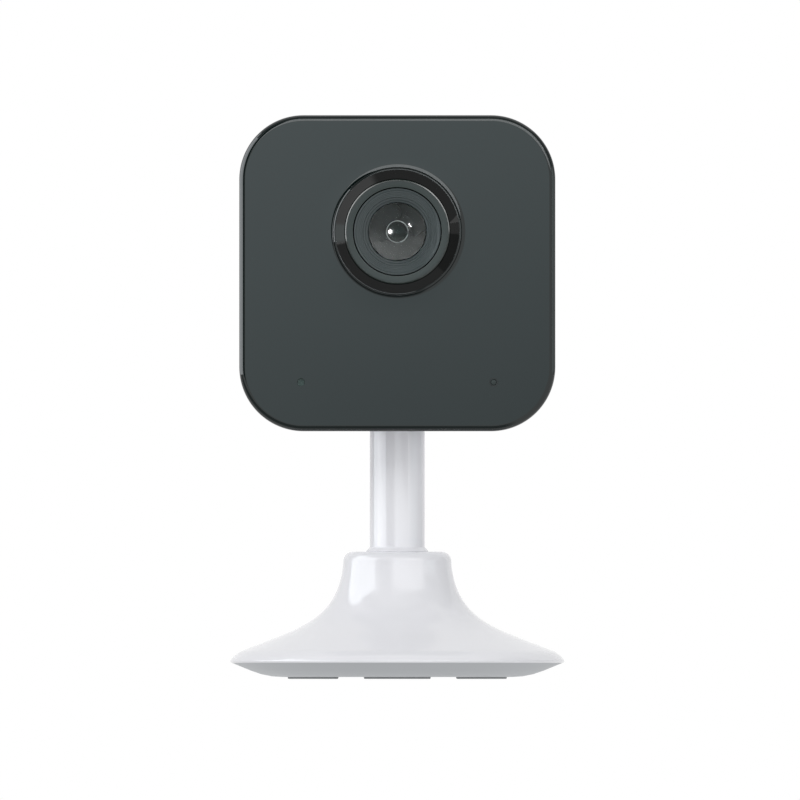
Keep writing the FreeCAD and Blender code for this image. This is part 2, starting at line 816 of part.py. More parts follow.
def retainer_ring():
    """The stepped ring that holds the front glass."""
    outer = lens_groove_radius - lens_groove_width - seat_gap
    front, back = lens_ring_y + retainer_sunk, glass_front_y
    crest = outer - retainer_land
    run = (crest - front_glass_radius) / retainer_step_count
    fall = (retainer_depth - retainer_edge) / retainer_step_count
    points = [(outer, back), (outer, front), (crest, front)]
    for i in range(retainer_step_count):
        radius = crest - run * i
        points.append((radius - run * 0.7, front + fall * (i + 0.45)))
        points.append((radius - run, front + fall * (i + 1)))
    points.append((front_glass_radius, back))
    return lathe_y(points)


def glass(front_y, radius, edge, hollow_curve, dome_curve):
    """A round glass with a flat rim: hollow in front, domed behind.

    The rim starts at front_y and is edge thick. Each curve is the radius of its sphere, and both
    stay inside the clear width, so the rim's flats seat on the barrel.
    """
    clear = radius - glass_rim
    body = rod_y(radius, front_y, front_y + edge, 0, lens_z)
    dome_reach = math.sqrt(dome_curve ** 2 - clear ** 2)
    ball = Part.makeSphere(dome_curve, V(0, front_y + edge - dome_reach, lens_z))
    dome = ball.common(rod_y(clear, front_y + edge / 2, front_y + edge + dome_curve, 0, lens_z))
    hollow_reach = math.sqrt(hollow_curve ** 2 - clear ** 2)
    hollow = Part.makeSphere(hollow_curve, V(0, front_y - hollow_reach, lens_z))
    return joined([body, dome]).cut(hollow)


def front_lens():
    """The domed front glass, hollow behind, seated in the barrel under its retainer."""
    dome_radius = front_glass_radius - seat_gap
    rim = rod_y(front_glass_radius + glass_seat - seat_gap, glass_front_y, glass_back_y, 0, lens_z)
    reach = math.sqrt(front_glass_curve ** 2 - dome_radius ** 2)
    ball = Part.makeSphere(front_glass_curve, V(0, glass_front_y + reach, lens_z))
    dome = ball.common(rod_y(dome_radius, glass_front_y - dome_radius, glass_back_y, 0, lens_z))
    hollow_y = glass_back_y + front_glass_hollow - front_glass_hollow_depth
    return joined([rim, dome]).cut(Part.makeSphere(front_glass_hollow, V(0, hollow_y, lens_z)))


def lens_stop():
    """The black stop between the front and middle glasses."""
    front = glass_back_y + seat_gap / 2
    back = front + stop_thick
    return lathe_y([
        (stop_radius + stop_bevel, front),
        (middle_glass_radius, front),
        (middle_glass_radius, back),
        (stop_radius, back),
    ])


def middle_lens():
    """The middle glass."""
    curves = middle_glass_hollow, middle_glass_dome
    return glass(middle_glass_y, middle_glass_radius, middle_glass_edge, *curves)


def rear_lens():
    """The rear glass."""
    front = holder_y - rear_glass_sunk - rear_glass_edge
    return glass(front, rear_glass_radius, rear_glass_edge, rear_glass_hollow, rear_glass_dome)


# ---- Lens holder, filter switch and sensor ----------------------------------------------------
def lens_holder():
    """The holder: threaded tube in front, filter room behind, four screw holes."""
    floor = holder_y + holder_front_wall
    step = filter_y + filter_frame_thick + filter_gap
    beyond = sensor_board_y + 1
    room_dz = filter_frame_height / 2 + filter_gap
    lid_half, lid_dz = filter_room + filter_cover_border, room_dz + filter_cover_border / 2
    block = box(-holder_width / 2, holder_width / 2, holder_y, sensor_board_y,
                lens_z - holder_height / 2, lens_z + holder_height / 2)
    tube = rod_y(holder_tube, frame_back_y - holder_tube_reach, floor, 0, lens_z)
    cuts = [
        rod_y(barrel_thread, frame_back_y - 2 * holder_tube_reach, holder_y, 0, lens_z),
        rod_y(rear_glass_radius + glass_rim, holder_y - 1, floor + 1, 0, lens_z),
        box(-filter_room, filter_room, floor, beyond, lens_z - room_dz, lens_z + room_dz),
        box(-lid_half, lid_half, step, beyond, lens_z - lid_dz, lens_z + lid_dz),
    ]
    cuts += [rod_y(small_screw_radius + screw_gap, holder_y - 1, sensor_board_y + 1, x, z)
             for x, z in four_corners(holder_screw_x, holder_screw_z, lens_z)]
    return joined([block, tube]).cut(cuts)


def filter_cover():
    """The thin plate that keeps the filter frame in its room, with a window for the sensor."""
    half = filter_room + filter_cover_border - seat_gap
    dz = filter_frame_height / 2 + filter_gap + filter_cover_border / 2 - seat_gap
    front = filter_y + filter_frame_thick + filter_gap
    plate = box(-half, half, front, front + filter_cover_thick, lens_z - dz, lens_z + dz)
    window = filter_window / 2
    return plate.cut(box(-window, window, front - 1, front + 1, lens_z - window, lens_z + window))


def filter_frame():
    """The sliding frame with two windows side by side."""
    left = -(filter_shift + filter_frame_width) / 2
    back = filter_y + filter_frame_thick
    frame = box(left, left + filter_frame_width, filter_y, back,
                lens_z - filter_frame_height / 2, lens_z + filter_frame_height / 2)
    hole, seat = filter_window / 2, filter_glass / 2 + seat_gap
    seat_back = filter_y + filter_glass_thick
    cuts = []
    for x in (-filter_shift, 0.0):
        cuts.append(box(x - hole, x + hole, filter_y - 1, back + 1, lens_z - hole, lens_z + hole))
        cuts.append(box(x - seat, x + seat, filter_y - 1, seat_back, lens_z - seat, lens_z + seat))
    return frame.cut(cuts)


def filter_pane(x):
    """One square of filter glass in the sliding frame."""
    half = filter_glass / 2
    return box(x - half, x + half, filter_y, filter_y + filter_glass_thick, lens_z - half, lens_z + half)


def infrared_filter():
    """The daylight filter, in front of the sensor at rest."""
    return filter_pane(0.0)


def clear_filter():
    """The clear pane that takes the filter's place at night."""
    return filter_pane(-filter_shift)


def filter_coil():
    """The small coil that throws the filter frame, wound on a flanged core."""
    front = holder_y - coil_length
    core = rod_y(coil_core_radius, front, holder_y, coil_x, lens_z)
    starts = (front, holder_y - coil_flange_thick)
    return joined([core, *[rod_y(coil_radius, y, y + coil_flange_thick, coil_x, lens_z) for y in starts]])


def image_sensor():
    """The sensor chip on its board."""
    return box(-sensor_width / 2, sensor_width / 2, sensor_board_y - sensor_thick, sensor_board_y,
               lens_z - sensor_height / 2, lens_z + sensor_height / 2)


def sensor_board():
    """The square board behind the lens holder."""
    half = sensor_board_size / 2
    board = box(-half, half, sensor_board_y, sensor_board_y + main_board_thick, lens_z - half, lens_z + half)
    holes = [rod_y(small_screw_radius + screw_gap, sensor_board_y - 1, sensor_board_y + 3, x, z)
             for x, z in four_corners(holder_screw_x, holder_screw_z, lens_z)]
    return board.cut(holes)


def holder_screws():
    """Four screws through the sensor board and the holder into the inner frame."""
    length = main_board_thick + holder_depth + small_screw_length
    one = screw(small_screw_head, small_screw_head_thick, small_screw_radius, length)
    one = one.rotated(V(0, 0, 0), V(0, 0, 1), 180)
    seat = sensor_board_y + main_board_thick
    places = four_corners(holder_screw_x, holder_screw_z, lens_z)
    return Part.makeCompound([placed(one, x, seat, z) for x, z in places])


# ---- Inner frame and lamp board ---------------------------------------------------------------
def lamp_board_screws_at():
    """The four (x, z) places where the lamp board is screwed to the frame."""
    x = lamp_board_half - lamp_screw_inset
    heights = (lamp_board_low + lamp_screw_rise, lamp_board_high - lamp_screw_inset)
    return [(side * x, z) for side in (-1, 1) for z in heights]


def lamp_board():
    """The board behind the face: a hole for the lens and a notch for the hinge pocket."""
    half = lamp_board_half
    front, back = lamp_board_y - 1, lamp_board_back_y + 1
    board = box(-half, half, lamp_board_y, lamp_board_back_y, lamp_board_low, lamp_board_high)
    cuts = [
        rod_y(mouth_radius - bezel_gap - bezel_skirt_taper + lens_tube_gap, front, back, 0, lens_z),
        box(-notch_half_width, notch_half_width, front, back, lamp_board_low - 1, notch_top),
    ]
    cuts += [rod_y(small_screw_radius + screw_gap, front, back, x, z) for x, z in lamp_board_screws_at()]
    return board.cut(cuts)


def inner_frame():
    """The black frame that carries the lens, the lamp board and the four corner screws."""
    plate = rounded_slab(cavity_width - 2 * frame_margin, cavity_height - 2 * frame_margin,
                         cavity_corner - frame_margin, frame_y, frame_back_y)
    front, back = frame_y - 1, frame_back_y + 1
    holder_places = four_corners(holder_screw_x, holder_screw_z, lens_z)
    board_places = lamp_board_screws_at()
    posts = [rod_y(frame_post_radius, lamp_board_back_y, frame_back_y, x, z) for x, z in board_places]
    posts += [rod_y(frame_post_radius, frame_y, holder_y, x, z) for x, z in holder_places]
    ribbon_half, ribbon_dz = ribbon_width / 2 + ribbon_room, ribbon_socket_height / 2 + ribbon_room / 2
    cuts = [
        rod_y(holder_tube + lens_tube_gap, front, back, 0, lens_z),
        rod_y(coil_radius + coil_clear, front, back, coil_x, lens_z),
        box(-notch_half_width, notch_half_width, front, back, head_bottom, notch_top),
        box(-ribbon_offset - ribbon_half, -ribbon_offset + ribbon_half, front, back,
            ribbon_z - ribbon_dz, ribbon_z + ribbon_dz),
    ]
    cuts += [rod_y(corner_screw_radius + screw_gap, front, back, x, z)
             for x, z in four_corners(corner_boss_x, corner_boss_dz)]
    cuts += [rod_y(small_screw_radius, lamp_board_y, frame_back_y, x, z) for x, z in board_places]
    cuts += [rod_y(small_screw_radius, frame_y, holder_y + 1, x, z) for x, z in holder_places]
    return joined([plate, *posts]).cut(cuts)


def frame_screws():
    """Four screws through the inner frame into the rear shell's corner bosses."""
    shank = corner_screw_radius - seat_gap
    one = screw(corner_screw_head, corner_screw_head_thick, shank, corner_screw_length)
    places = four_corners(corner_boss_x, corner_boss_dz)
    return Part.makeCompound([placed(one, x, frame_y, z) for x, z in places])


def lamp_board_screws():
    """Four screws that hold the lamp board to the frame's posts."""
    shank = small_screw_radius - seat_gap
    one = screw(small_screw_head, small_screw_head_thick, shank, small_screw_length + board_thick)
    return Part.makeCompound([placed(one, x, lamp_board_y, z) for x, z in lamp_board_screws_at()])


def infrared_lamps():
    """Two infrared lamps behind the dark face, either side of the lens."""
    half, front = infrared_package / 2, lamp_board_y - infrared_package_thick
    x = bezel_flange + half + infrared_clear
    package = box(x - half, x + half, front, lamp_board_y, lens_z - half, lens_z + half)
    dome = Part.makeSphere(infrared_dome, V(x, front, lens_z), V(0, -1, 0), 0, 90)
    return Part.makeCompound(both_sides(joined([package, dome])))


def microphone():
    """The microphone capsule on the lamp board."""
    return rod_y(microphone_radius, lamp_board_y - microphone_thick, lamp_board_y, -eyelet_offset, eyelet_z)


def microphone_boot():
    """The rubber tube from the microphone to its hole in the face."""
    tube = rod_y(microphone_radius, plate_back_y, lamp_board_y - microphone_thick, -eyelet_offset, eyelet_z)
    return tube.cut(rod_y(microphone_hole, plate_back_y - 1, lamp_board_y, -eyelet_offset, eyelet_z))


def light_pipe():
    """The clear pipe that shows the status lamp in the face."""
    back = plate_back_y + light_pipe_flange_thick
    pipe = rod_y(lamp_hole - seat_gap, face_y + light_pipe_sunk, back, eyelet_offset, eyelet_z)
    collar = rod_y(lamp_hole + light_pipe_flange, plate_back_y, back, eyelet_offset, eyelet_z)
    return joined([pipe, collar])


def status_lamp():
    """The lamp chip behind the light pipe."""
    half, dz = lamp_chip_width / 2, lamp_chip_height / 2
    front = plate_back_y + light_pipe_flange_thick + lamp_chip_gap
    return box(eyelet_offset - half, eyelet_offset + half, front, lamp_board_y, eyelet_z - dz, eyelet_z + dz)


def board_ribbon():
    """The flat cable from the lamp board to the main board."""
    half, dz = ribbon_width / 2, ribbon_thick / 2
    return box(-ribbon_offset - half, -ribbon_offset + half, lamp_board_back_y + ribbon_socket_thick,
               main_board_y - ribbon_socket_thick, ribbon_z - dz, ribbon_z + dz)


def ribbon_sockets():
    """The two sockets that the flat cable ends in."""
    half, dz = ribbon_width / 2 + ribbon_socket_side, ribbon_socket_height / 2
    starts = (lamp_board_back_y, main_board_y - ribbon_socket_thick)
    low_x, high_x = -ribbon_offset - half, -ribbon_offset + half
    return Part.makeCompound([
        box(low_x, high_x, y, y + ribbon_socket_thick, ribbon_z - dz, ribbon_z + dz) for y in starts
    ])


# ---- Rear shell -------------------------------------------------------------------------------
def hinge_pocket(form):
    """Walls round the stem's slot with the pin's bosses, trimmed to the shell's outer form."""
    pocket = box(-pocket_half_width, pocket_half_width, pocket_front_y, back_y, head_bottom, pocket_top)
    return [pocket.common(form), rod_x(hinge_boss_radius, -boss_reach, boss_reach, 0, pivot_z)]


def hinge_slot():
    """The room in which the stem swings: a chamber for the knuckle, open below, with an arch behind."""
    low, half, outside = head_bottom - 1, slot_half_width, back_y + 1
    chamber = soften_along(box(-half, half, slot_front_y, outside, low, slot_top), slot_corner, V(0, 0, 1))
    chamber = chamber.cut(box(-half, half, stem_radius + slot_crown_gap, outside, low, slot_top))
    arch = joined([box(-half, half, 0, outside, low, pivot_z), rod_y(half, 0, outside, 0, pivot_z)])
    return joined([chamber, arch])


def grille_holes():
    """(x, z) of the speaker holes: one in the middle and rings of six, twelve and so on."""
    places = [(0.0, speaker_z)]
    for ring in range(1, grille_rings + 1):
        radius = ring * grille_pitch
        for i in range(6 * ring):
            angle = 2 * math.pi * i / (6 * ring)
            places.append((radius * math.cos(angle), speaker_z + radius * math.sin(angle)))
    return places


def main_board_screws_at():
    """The four (x, z) places of the main board's standoffs."""
    lower = (boss_reach + standoff_clear, main_board_low + standoff_rise)
    upper = (main_board_half - standoff_inset, main_board_high - standoff_drop)
    return [(side * x, z) for side in (-1, 1) for x, z in (lower, upper)]


def shell_lip():
    """The thin wall ahead of the rear shell that plugs into the front cover."""
    front, back = shell_front_y - lip_reach, shell_front_y + lip_root
    outer = rounded_slab(lip_width, lip_height, lip_corner, front, back)
    inner_width, inner_height = lip_width - 2 * lip_wall, lip_height - 2 * lip_wall
    return outer.cut(rounded_slab(inner_width, inner_height, lip_corner - lip_wall, front - 1, back + 1))


def speaker_seat():
    """The ring on the rear wall that the speaker sits in."""
    bore = speaker_radius + speaker_seat_gap
    middle_y = back_y - back_wall / 2
    ring = rod_y(bore + speaker_seat_wall, speaker_front_y + speaker_seat_short, middle_y, 0, speaker_z)
    return ring.cut(rod_y(bore, speaker_front_y, middle_y, 0, speaker_z))


def rear_openings():
    """What is cut through the shell's walls: speaker grille, reset button, power socket and card slot."""
    inside, outside = back_inner_y - 1, back_y + 1
    cuts = [rod_y(grille_hole, inside, outside, x, z) for x, z in grille_holes()]
    cuts.append(rod_y(reset_radius + reset_gap, inside, outside, port_offset, port_z))
    width, height = socket_width + 2 * socket_gap, socket_height + 2 * socket_gap
    cuts.append(stadium(width, height, inside, outside, -port_offset, port_z))
    card_dz = card_width / 2 - card_side
    cuts.append(box(cavity_width / 2 - 1, shell_width / 2 + 1, main_board_back_y - card_slot_gap,
                    main_board_back_y + card_thick + card_slot_gap, card_z - card_dz, card_z + card_dz))
    return cuts


def rear_shell():
    """The white rear shell with its lip, bosses, hinge pocket and openings."""
    form = rounded_slab(shell_width, shell_height, shell_corner, shell_front_y, back_y)
    form = soften(form, back_edge_round, back_y)
    hollow = rounded_slab(cavity_width, cavity_height, cavity_corner, face_y, back_inner_y)
    hollow = soften(hollow, back_edge_round - back_wall, back_inner_y)
    wall_middle = back_y - back_wall / 2
    corners, standoffs = four_corners(corner_boss_x, corner_boss_dz), main_board_screws_at()
    bosses = [rod_y(corner_boss_radius, frame_back_y, wall_middle, x, z) for x, z in corners]
    bosses += [rod_y(frame_post_radius, main_board_back_y, wall_middle, x, z) for x, z in standoffs]
    shell = joined([form.cut(hollow), shell_lip(), *bosses, speaker_seat(), *hinge_pocket(form)])
    screw_end, small_end = frame_back_y + corner_screw_length, main_board_back_y + small_screw_length
    cuts = [hinge_slot(), rod_x(hinge_pin_radius + hinge_press, -pin_reach, pin_reach, 0, pivot_z)]
    cuts += [rod_y(corner_screw_radius, frame_back_y - 1, screw_end, x, z) for x, z in corners]
    cuts += [rod_y(small_screw_radius, main_board_back_y - 1, small_end, x, z) for x, z in standoffs]
    return shell.cut(cuts + rear_openings())


# ---- Main board -------------------------------------------------------------------------------
def main_board():
    """The main board, notched round the hinge pocket, its pin's bosses and the corner bosses."""
    half, below = main_board_half, head_bottom
    front, back = main_board_y - 1, main_board_back_y + 1
    board = box(-half, half, main_board_y, main_board_back_y, main_board_low, main_board_high)
    clear = corner_boss_radius + boss_clear
    corner = box(corner_boss_x, half + 1, front, back, below, head_middle - corner_boss_dz + clear)
    wide = boss_reach + frame_margin
    cuts = [
        box(-notch_half_width, notch_half_width, front, back, below, notch_top),
        box(-wide, wide, front, back, below, boss_top + frame_margin),
        *both_sides(corner),
    ]
    cuts += [rod_y(clear, front, back, x, z) for x, z in four_corners(corner_boss_x, corner_boss_dz)]
    cuts += [rod_y(small_screw_radius + screw_gap, front, back, x, z) for x, z in main_board_screws_at()]
    return board.cut(cuts)


def main_board_screws():
    """Four screws that hold the main board to the rear shell's standoffs."""
    length = main_board_thick + small_screw_length - screw_gap
    one = screw(small_screw_head, small_screw_head_thick, small_screw_radius - seat_gap, length)
    return Part.makeCompound([placed(one, x, main_board_y, z) for x, z in main_board_screws_at()])


def usb_socket():
    """The power socket's metal shell, a flat tube that reaches the rear face."""
    mouth, floor = back_y - socket_sunk, main_board_back_y + socket_floor
    width, height = socket_width - 2 * socket_wall, socket_height - 2 * socket_wall
    outer = stadium(socket_width, socket_height, main_board_back_y, mouth, -port_offset, port_z)
    return outer.cut(stadium(width, height, floor, mouth + 1, -port_offset, port_z))


def usb_tongue():
    """The contact tongue inside the power socket."""
    half, dz = tongue_width / 2, tongue_thick / 2
    root, tip = main_board_back_y + socket_floor, back_y - tongue_sunk
    return box(-port_offset - half, -port_offset + half, root, tip, port_z - dz, port_z + dz)


def reset_button():
    """The reset button: cap in the rear wall, flange behind it and a rod to the switch."""
    flange_back, cap_back = back_inner_y - seat_gap, back_y - reset_sunk
    flange_front = flange_back - reset_flange_thick
    cap = rod_y(reset_radius, flange_front, cap_back, port_offset, port_z)
    flange = rod_y(reset_flange, flange_front, flange_back, port_offset, port_z)
    shank = rod_y(plunger_radius, rod_end_y, flange_back, port_offset, port_z)
    return joined([soften(cap, reset_edge_round, cap_back), flange, shank])


def reset_plunger():
    """The switch's plunger, which the button pushes in."""
    seat = main_board_back_y + switch_height - plunger_seat
    return rod_y(plunger_radius, seat, rod_end_y, port_offset, port_z)


def reset_switch():
    """The body of the push switch, with a well for its plunger."""
    half, top = switch_size / 2, main_board_back_y + switch_height
    body = box(port_offset - half, port_offset + half, main_board_back_y, top, port_z - half, port_z + half)
    return body.cut(rod_y(plunger_radius + running_gap, top - switch_well, top + 1, port_offset, port_z))


def card_socket():
    """The memory card socket: a flat metal box that opens to the side of the head."""
    mouth = cavity_width / 2 - card_edge
    end, dz, room_dz = mouth - card_length, card_width / 2, card_width / 2 - card_side
    front, back = main_board_back_y, main_board_back_y + card_thick
    shell = box(end, mouth, front, back, card_z - dz, card_z + dz)
    return shell.cut(box(end + card_stop, mouth + 1, front + card_skin, back - card_skin,
                         card_z - room_dz, card_z + room_dz))


def shield_can():
    """The pressed metal can over the processor."""
    x, z, back = shield_x, shield_z, main_board_back_y + shield_thick
    half, dz = shield_width / 2, shield_height / 2
    outer = box(x - half, x + half, main_board_back_y, back, z - dz, z + dz)
    half, dz = half - shield_sheet, dz - shield_sheet
    return outer.cut(box(x - half, x + half, main_board_y, back - shield_sheet, z - dz, z + dz))


def processor():
    """The processor under the can."""
    x, z, half = shield_x, shield_z, chip_size / 2
    return box(x - half, x + half, main_board_back_y, main_board_back_y + chip_thick, z - half, z + half)


def radio_module():
    """The wireless module on the front of the main board."""
    half, low = radio_width / 2, notch_top - radio_sunk
    return box(port_offset - half, port_offset + half, main_board_y - radio_thick, main_board_y,
               low, low + radio_height)


def sensor_connector():
    """The connector block between the sensor board and the main board."""
    low = lens_z - sensor_board_size / 2 + connector_edge
    return box(-connector_width / 2, connector_width / 2, sensor_board_y + main_board_thick, main_board_y,
               low, low + connector_height)


# ---- Speaker and antenna ----------------------------------------------------------------------
def speaker_frame():
    """The speaker's pressed basket."""
    back, front, wall = speaker_back_y, speaker_front_y, speaker_wall
    rim, waist = speaker_radius, speaker_body_radius
    shelf = back - speaker_flange_thick
    return lathe_y([
        (rim, back),
        (rim, shelf),
        (waist, shelf),
        (waist, front),
        (0, front),
        (0, front + wall),
        (waist - wall, front + wall),
        (waist - wall, shelf + wall),
        (rim - wall, shelf + wall),
        (rim - wall, back),
    ], 0, speaker_z)


def speaker_magnet():
    """The speaker's magnet."""
    front = speaker_front_y + speaker_wall
    return rod_y(speaker_magnet_radius, front, front + speaker_magnet_thick, 0, speaker_z)


def speaker_cone():
    """The speaker's thin cone: a flat rim, a sloping side and a flat crown."""
    rim = speaker_radius - speaker_wall - seat_gap
    back = speaker_back_y - cone_sunk
    return lathe_y([
        (rim, back),
        (rim, back - cone_thick),
        (cone_rim_radius, back - cone_thick),
        (cone_waist_radius, back - cone_thick - cone_dip),
        (0, back - cone_thick - cone_dip),
        (0, back - cone_dip),
        (cone_waist_radius, back - cone_dip),
        (cone_rim_radius, back),
    ], 0, speaker_z)


def speaker_gasket():
    """The foam ring between the speaker and the rear wall."""
    ring = rod_y(speaker_radius, speaker_back_y, back_inner_y, 0, speaker_z)
    return ring.cut(rod_y(speaker_radius - gasket_width, speaker_front_y, back_y, 0, speaker_z))


def antenna():
    """The flat antenna stuck to the inside of the top wall."""
    top = head_middle + cavity_height / 2
    y = frame_back_y + antenna_setback
    return box(-antenna_length / 2, antenna_length / 2, y, y + antenna_width, top - antenna_thick, top)


# ---- Nodes --------------------------------------------------------------------------------------
NODES = {
    "base_shell": base_shell,
    "base_bottom_cover": base_bottom_cover,
    "foot_pads": foot_pads,
    "base_screws": base_screws,
    "magnet_cup": magnet_cup,
    "base_magnet": base_magnet,
    "stem": stem,
    "swivel_spring": swivel_spring,
    "swivel_washer": swivel_washer,
    "swivel_screw": swivel_screw,
    "hinge_washers": hinge_washers,
    "hinge_pin": hinge_pin,
    "front_cover": front_cover,
    "lens_bezel": lens_bezel,
    "lens_barrel": lens_barrel,
    "lens_retainer": retainer_ring,
    "front_lens": front_lens,
    "lens_stop": lens_stop,
    "middle_lens": middle_lens,
    "rear_lens": rear_lens,
    "lens_holder": lens_holder,
    "filter_cover": filter_cover,
    "filter_frame": filter_frame,
    "infrared_filter": infrared_filter,
    "clear_filter": clear_filter,
    "filter_coil": filter_coil,
    "image_sensor": image_sensor,
    "sensor_board": sensor_board,
    "holder_screws": holder_screws,
    "lamp_board": lamp_board,
    "lamp_board_screws": lamp_board_screws,
    "inner_frame": inner_frame,
    "frame_screws": frame_screws,
    "infrared_lamps": infrared_lamps,
    "microphone": microphone,
    "microphone_boot": microphone_boot,
    "light_pipe": light_pipe,
    "status_lamp": status_lamp,
    "board_ribbon": board_ribbon,
    "ribbon_sockets": ribbon_sockets,
    "rear_shell": rear_shell,
    "main_board": main_board,
    "main_board_screws": main_board_screws,
    "usb_socket": usb_socket,
    "usb_tongue": usb_tongue,
    "reset_button": reset_button,
    "reset_plunger": reset_plunger,
    "reset_switch": reset_switch,
    "card_socket": card_socket,
    "shield_can": shield_can,
    "processor": processor,
    "radio_module": radio_module,
    "sensor_connector": sensor_connector,
    "speaker_frame": speaker_frame,
    "speaker_magnet": speaker_magnet,
    "speaker_cone": speaker_cone,
    "speaker_gasket": speaker_gasket,
    "antenna": antenna,
}


def main():
    """Builds every node and writes its STEP file."""
    os.makedirs("parts", exist_ok=True)
    for name, make in NODES.items():
        shape = make()
        shape.exportStep(os.path.join("parts", name + ".step"))
        print(f"{name:20s} {len(shape.Solids)} solid(s)  {shape.Volume:10.2f} mm3  valid {shape.isValid()}")


main()
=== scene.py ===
"""The dressed security camera: a glossy square head on a slim stem and a round flared foot.

Every piece is worked out in millimetres from named sizes, as a grid of points whose rows are closed loops,
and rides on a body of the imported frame. Lengths are in millimetres until a mesh is made.
"""

from __future__ import annotations

import logging
import math
from dataclasses import dataclass
from enum import Enum
from typing import Any, Callable, Sequence

import bmesh
import bpy
import mathutils
import numpy as np
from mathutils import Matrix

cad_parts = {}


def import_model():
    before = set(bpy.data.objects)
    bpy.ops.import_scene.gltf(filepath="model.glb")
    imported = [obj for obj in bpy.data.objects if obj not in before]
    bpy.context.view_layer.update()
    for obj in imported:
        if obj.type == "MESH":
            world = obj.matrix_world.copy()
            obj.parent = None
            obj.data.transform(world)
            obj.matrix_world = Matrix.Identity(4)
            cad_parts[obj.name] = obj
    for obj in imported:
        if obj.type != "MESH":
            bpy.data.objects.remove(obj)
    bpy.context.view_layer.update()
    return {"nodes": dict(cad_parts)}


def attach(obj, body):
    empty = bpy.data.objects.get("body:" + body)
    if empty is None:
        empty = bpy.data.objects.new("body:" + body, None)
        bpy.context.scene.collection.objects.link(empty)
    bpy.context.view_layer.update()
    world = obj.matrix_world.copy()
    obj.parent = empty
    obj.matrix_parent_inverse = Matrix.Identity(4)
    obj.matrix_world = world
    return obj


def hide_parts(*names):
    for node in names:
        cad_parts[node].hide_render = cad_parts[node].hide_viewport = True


MM = 0.001
TURN = 2 * math.pi
FINE = 256
PLAIN = 128
FOOT_TOP = 23.6
PIVOT_Z = 54.9
HEAD_Z = 75.2
FACE_Y = -17.0
LENS_XZ = (0.0, 82.9)
GRILLE_Z = 87.0
LENS_MIDDLE = (0.0, 0.0, 82.9)
PLAY = 0.05  # gap between pieces that fit into each other
PAST = 1.0  # how far a carving tool reaches past its piece
CLOSE = 0.01  # width of the first loop beside a flat
WHITE = (1.0, 1.0, 1.0, 1.0)
LOG = logging.getLogger("camera_scene")

Array = np.ndarray
Steps = tuple[tuple[float, float, float], ...]
Object = bpy.types.Object
Socket = bpy.types.NodeSocket


class Axis(Enum):
    """The direction that a turned piece is turned about."""

    X = 0
    Y = 1
    Z = 2


class Body(str, Enum):
    """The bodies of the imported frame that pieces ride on."""

    BASE = "base"
    STEM = "stem"
    HEAD = "head"
    BUTTON = "button"


class Carve(str, Enum):
    """What a tool does to a piece."""

    CUT = "DIFFERENCE"
    JOIN = "UNION"
    KEEP = "INTERSECT"


# ---- Surfaces -------------------------------------------------------------------------------------
@dataclass
class Surface:
    """A mesh as arrays.

    Attributes:
        points: one row of x, y, z in millimetres for each point.
        faces: point numbers of each face, in order round it.
    """

    points: Array
    faces: list[list[int]]

    def __add__(self, other: Surface) -> Surface:
        """Both surfaces as one."""
        shift = len(self.points)
        moved = [[number + shift for number in face] for face in other.faces]
        return Surface(np.concatenate([self.points, other.points]), self.faces + moved)


def grid_surface(loops: Array, wrapped: bool = False, capped: bool = False) -> Surface:
    """A surface through closed loops of points.

    Cell (i, j) is the quad between points j and j + 1 of loops i and i + 1, and the last point of a loop
    joins its first.

    Args:
        loops: array of rows by columns by 3.
        wrapped: whether the last loop joins the first, which gives a ring.
        capped: whether the first and last loops are closed by flat faces.

    Returns:
        The surface; points that coincide are merged when its mesh is made.
    """
    rows, columns = loops.shape[:2]
    i, j = np.meshgrid(np.arange(rows if wrapped else rows - 1), np.arange(columns), indexing="ij")
    below, after = (i + 1) % rows, (j + 1) % columns
    cells = np.stack([i * columns + j, below * columns + j, below * columns + after, i * columns + after], -1)
    faces = cells.reshape(-1, 4).tolist()
    if capped:
        faces.append(list(range(columns))[::-1])
        faces.append(list(range((rows - 1) * columns, rows * columns)))
    return Surface(loops.reshape(-1, 3), faces)


def eased(corners: Sequence[tuple[float, ...]], closed: bool = True, step: float = 7.5) -> Array:
    """A run of straight lines with rounds at its corners.

    A round's arc touches both lines: it starts and ends round x tan(half the turn) from the corner and its
    centre is round / cos(half the turn) away on the bisector.

    Args:
        corners: (across, along, round) of each corner; a corner without a round is sharp.
        closed: whether the last corner joins the first.
        step: largest angle between points of a round, in degrees.

    Returns:
        Array of (across, along), one row a point.
    """
    spots = np.array([corner[:2] for corner in corners], float)
    runs: list[Array] = []
    for i, corner in enumerate(corners):
        at, size = spots[i], corner[2] if len(corner) > 2 else 0.0
        ends = not closed and i in (0, len(corners) - 1)
        if size <= 0 or ends:
            runs.append(at[None])
            continue
        back, ahead = spots[i - 1] - at, spots[(i + 1) % len(spots)] - at
        back, ahead = back / np.linalg.norm(back), ahead / np.linalg.norm(ahead)
        turn = math.pi - math.acos(float(np.clip(back @ ahead, -1, 1)))
        middle = (back + ahead) / np.linalg.norm(back + ahead)
        centre = at + middle * size / math.cos(turn / 2)
        count = max(2, math.ceil(math.degrees(turn) / step) + 1)
        first = at + back * size * math.tan(turn / 2) - centre
        last = at + ahead * size * math.tan(turn / 2) - centre
        share = np.linspace(0, 1, count)[:, None]
        arc = (np.sin((1 - share) * turn) * first + np.sin(share * turn) * last) / math.sin(turn)
        runs.append(centre + arc)
    return np.concatenate(runs)


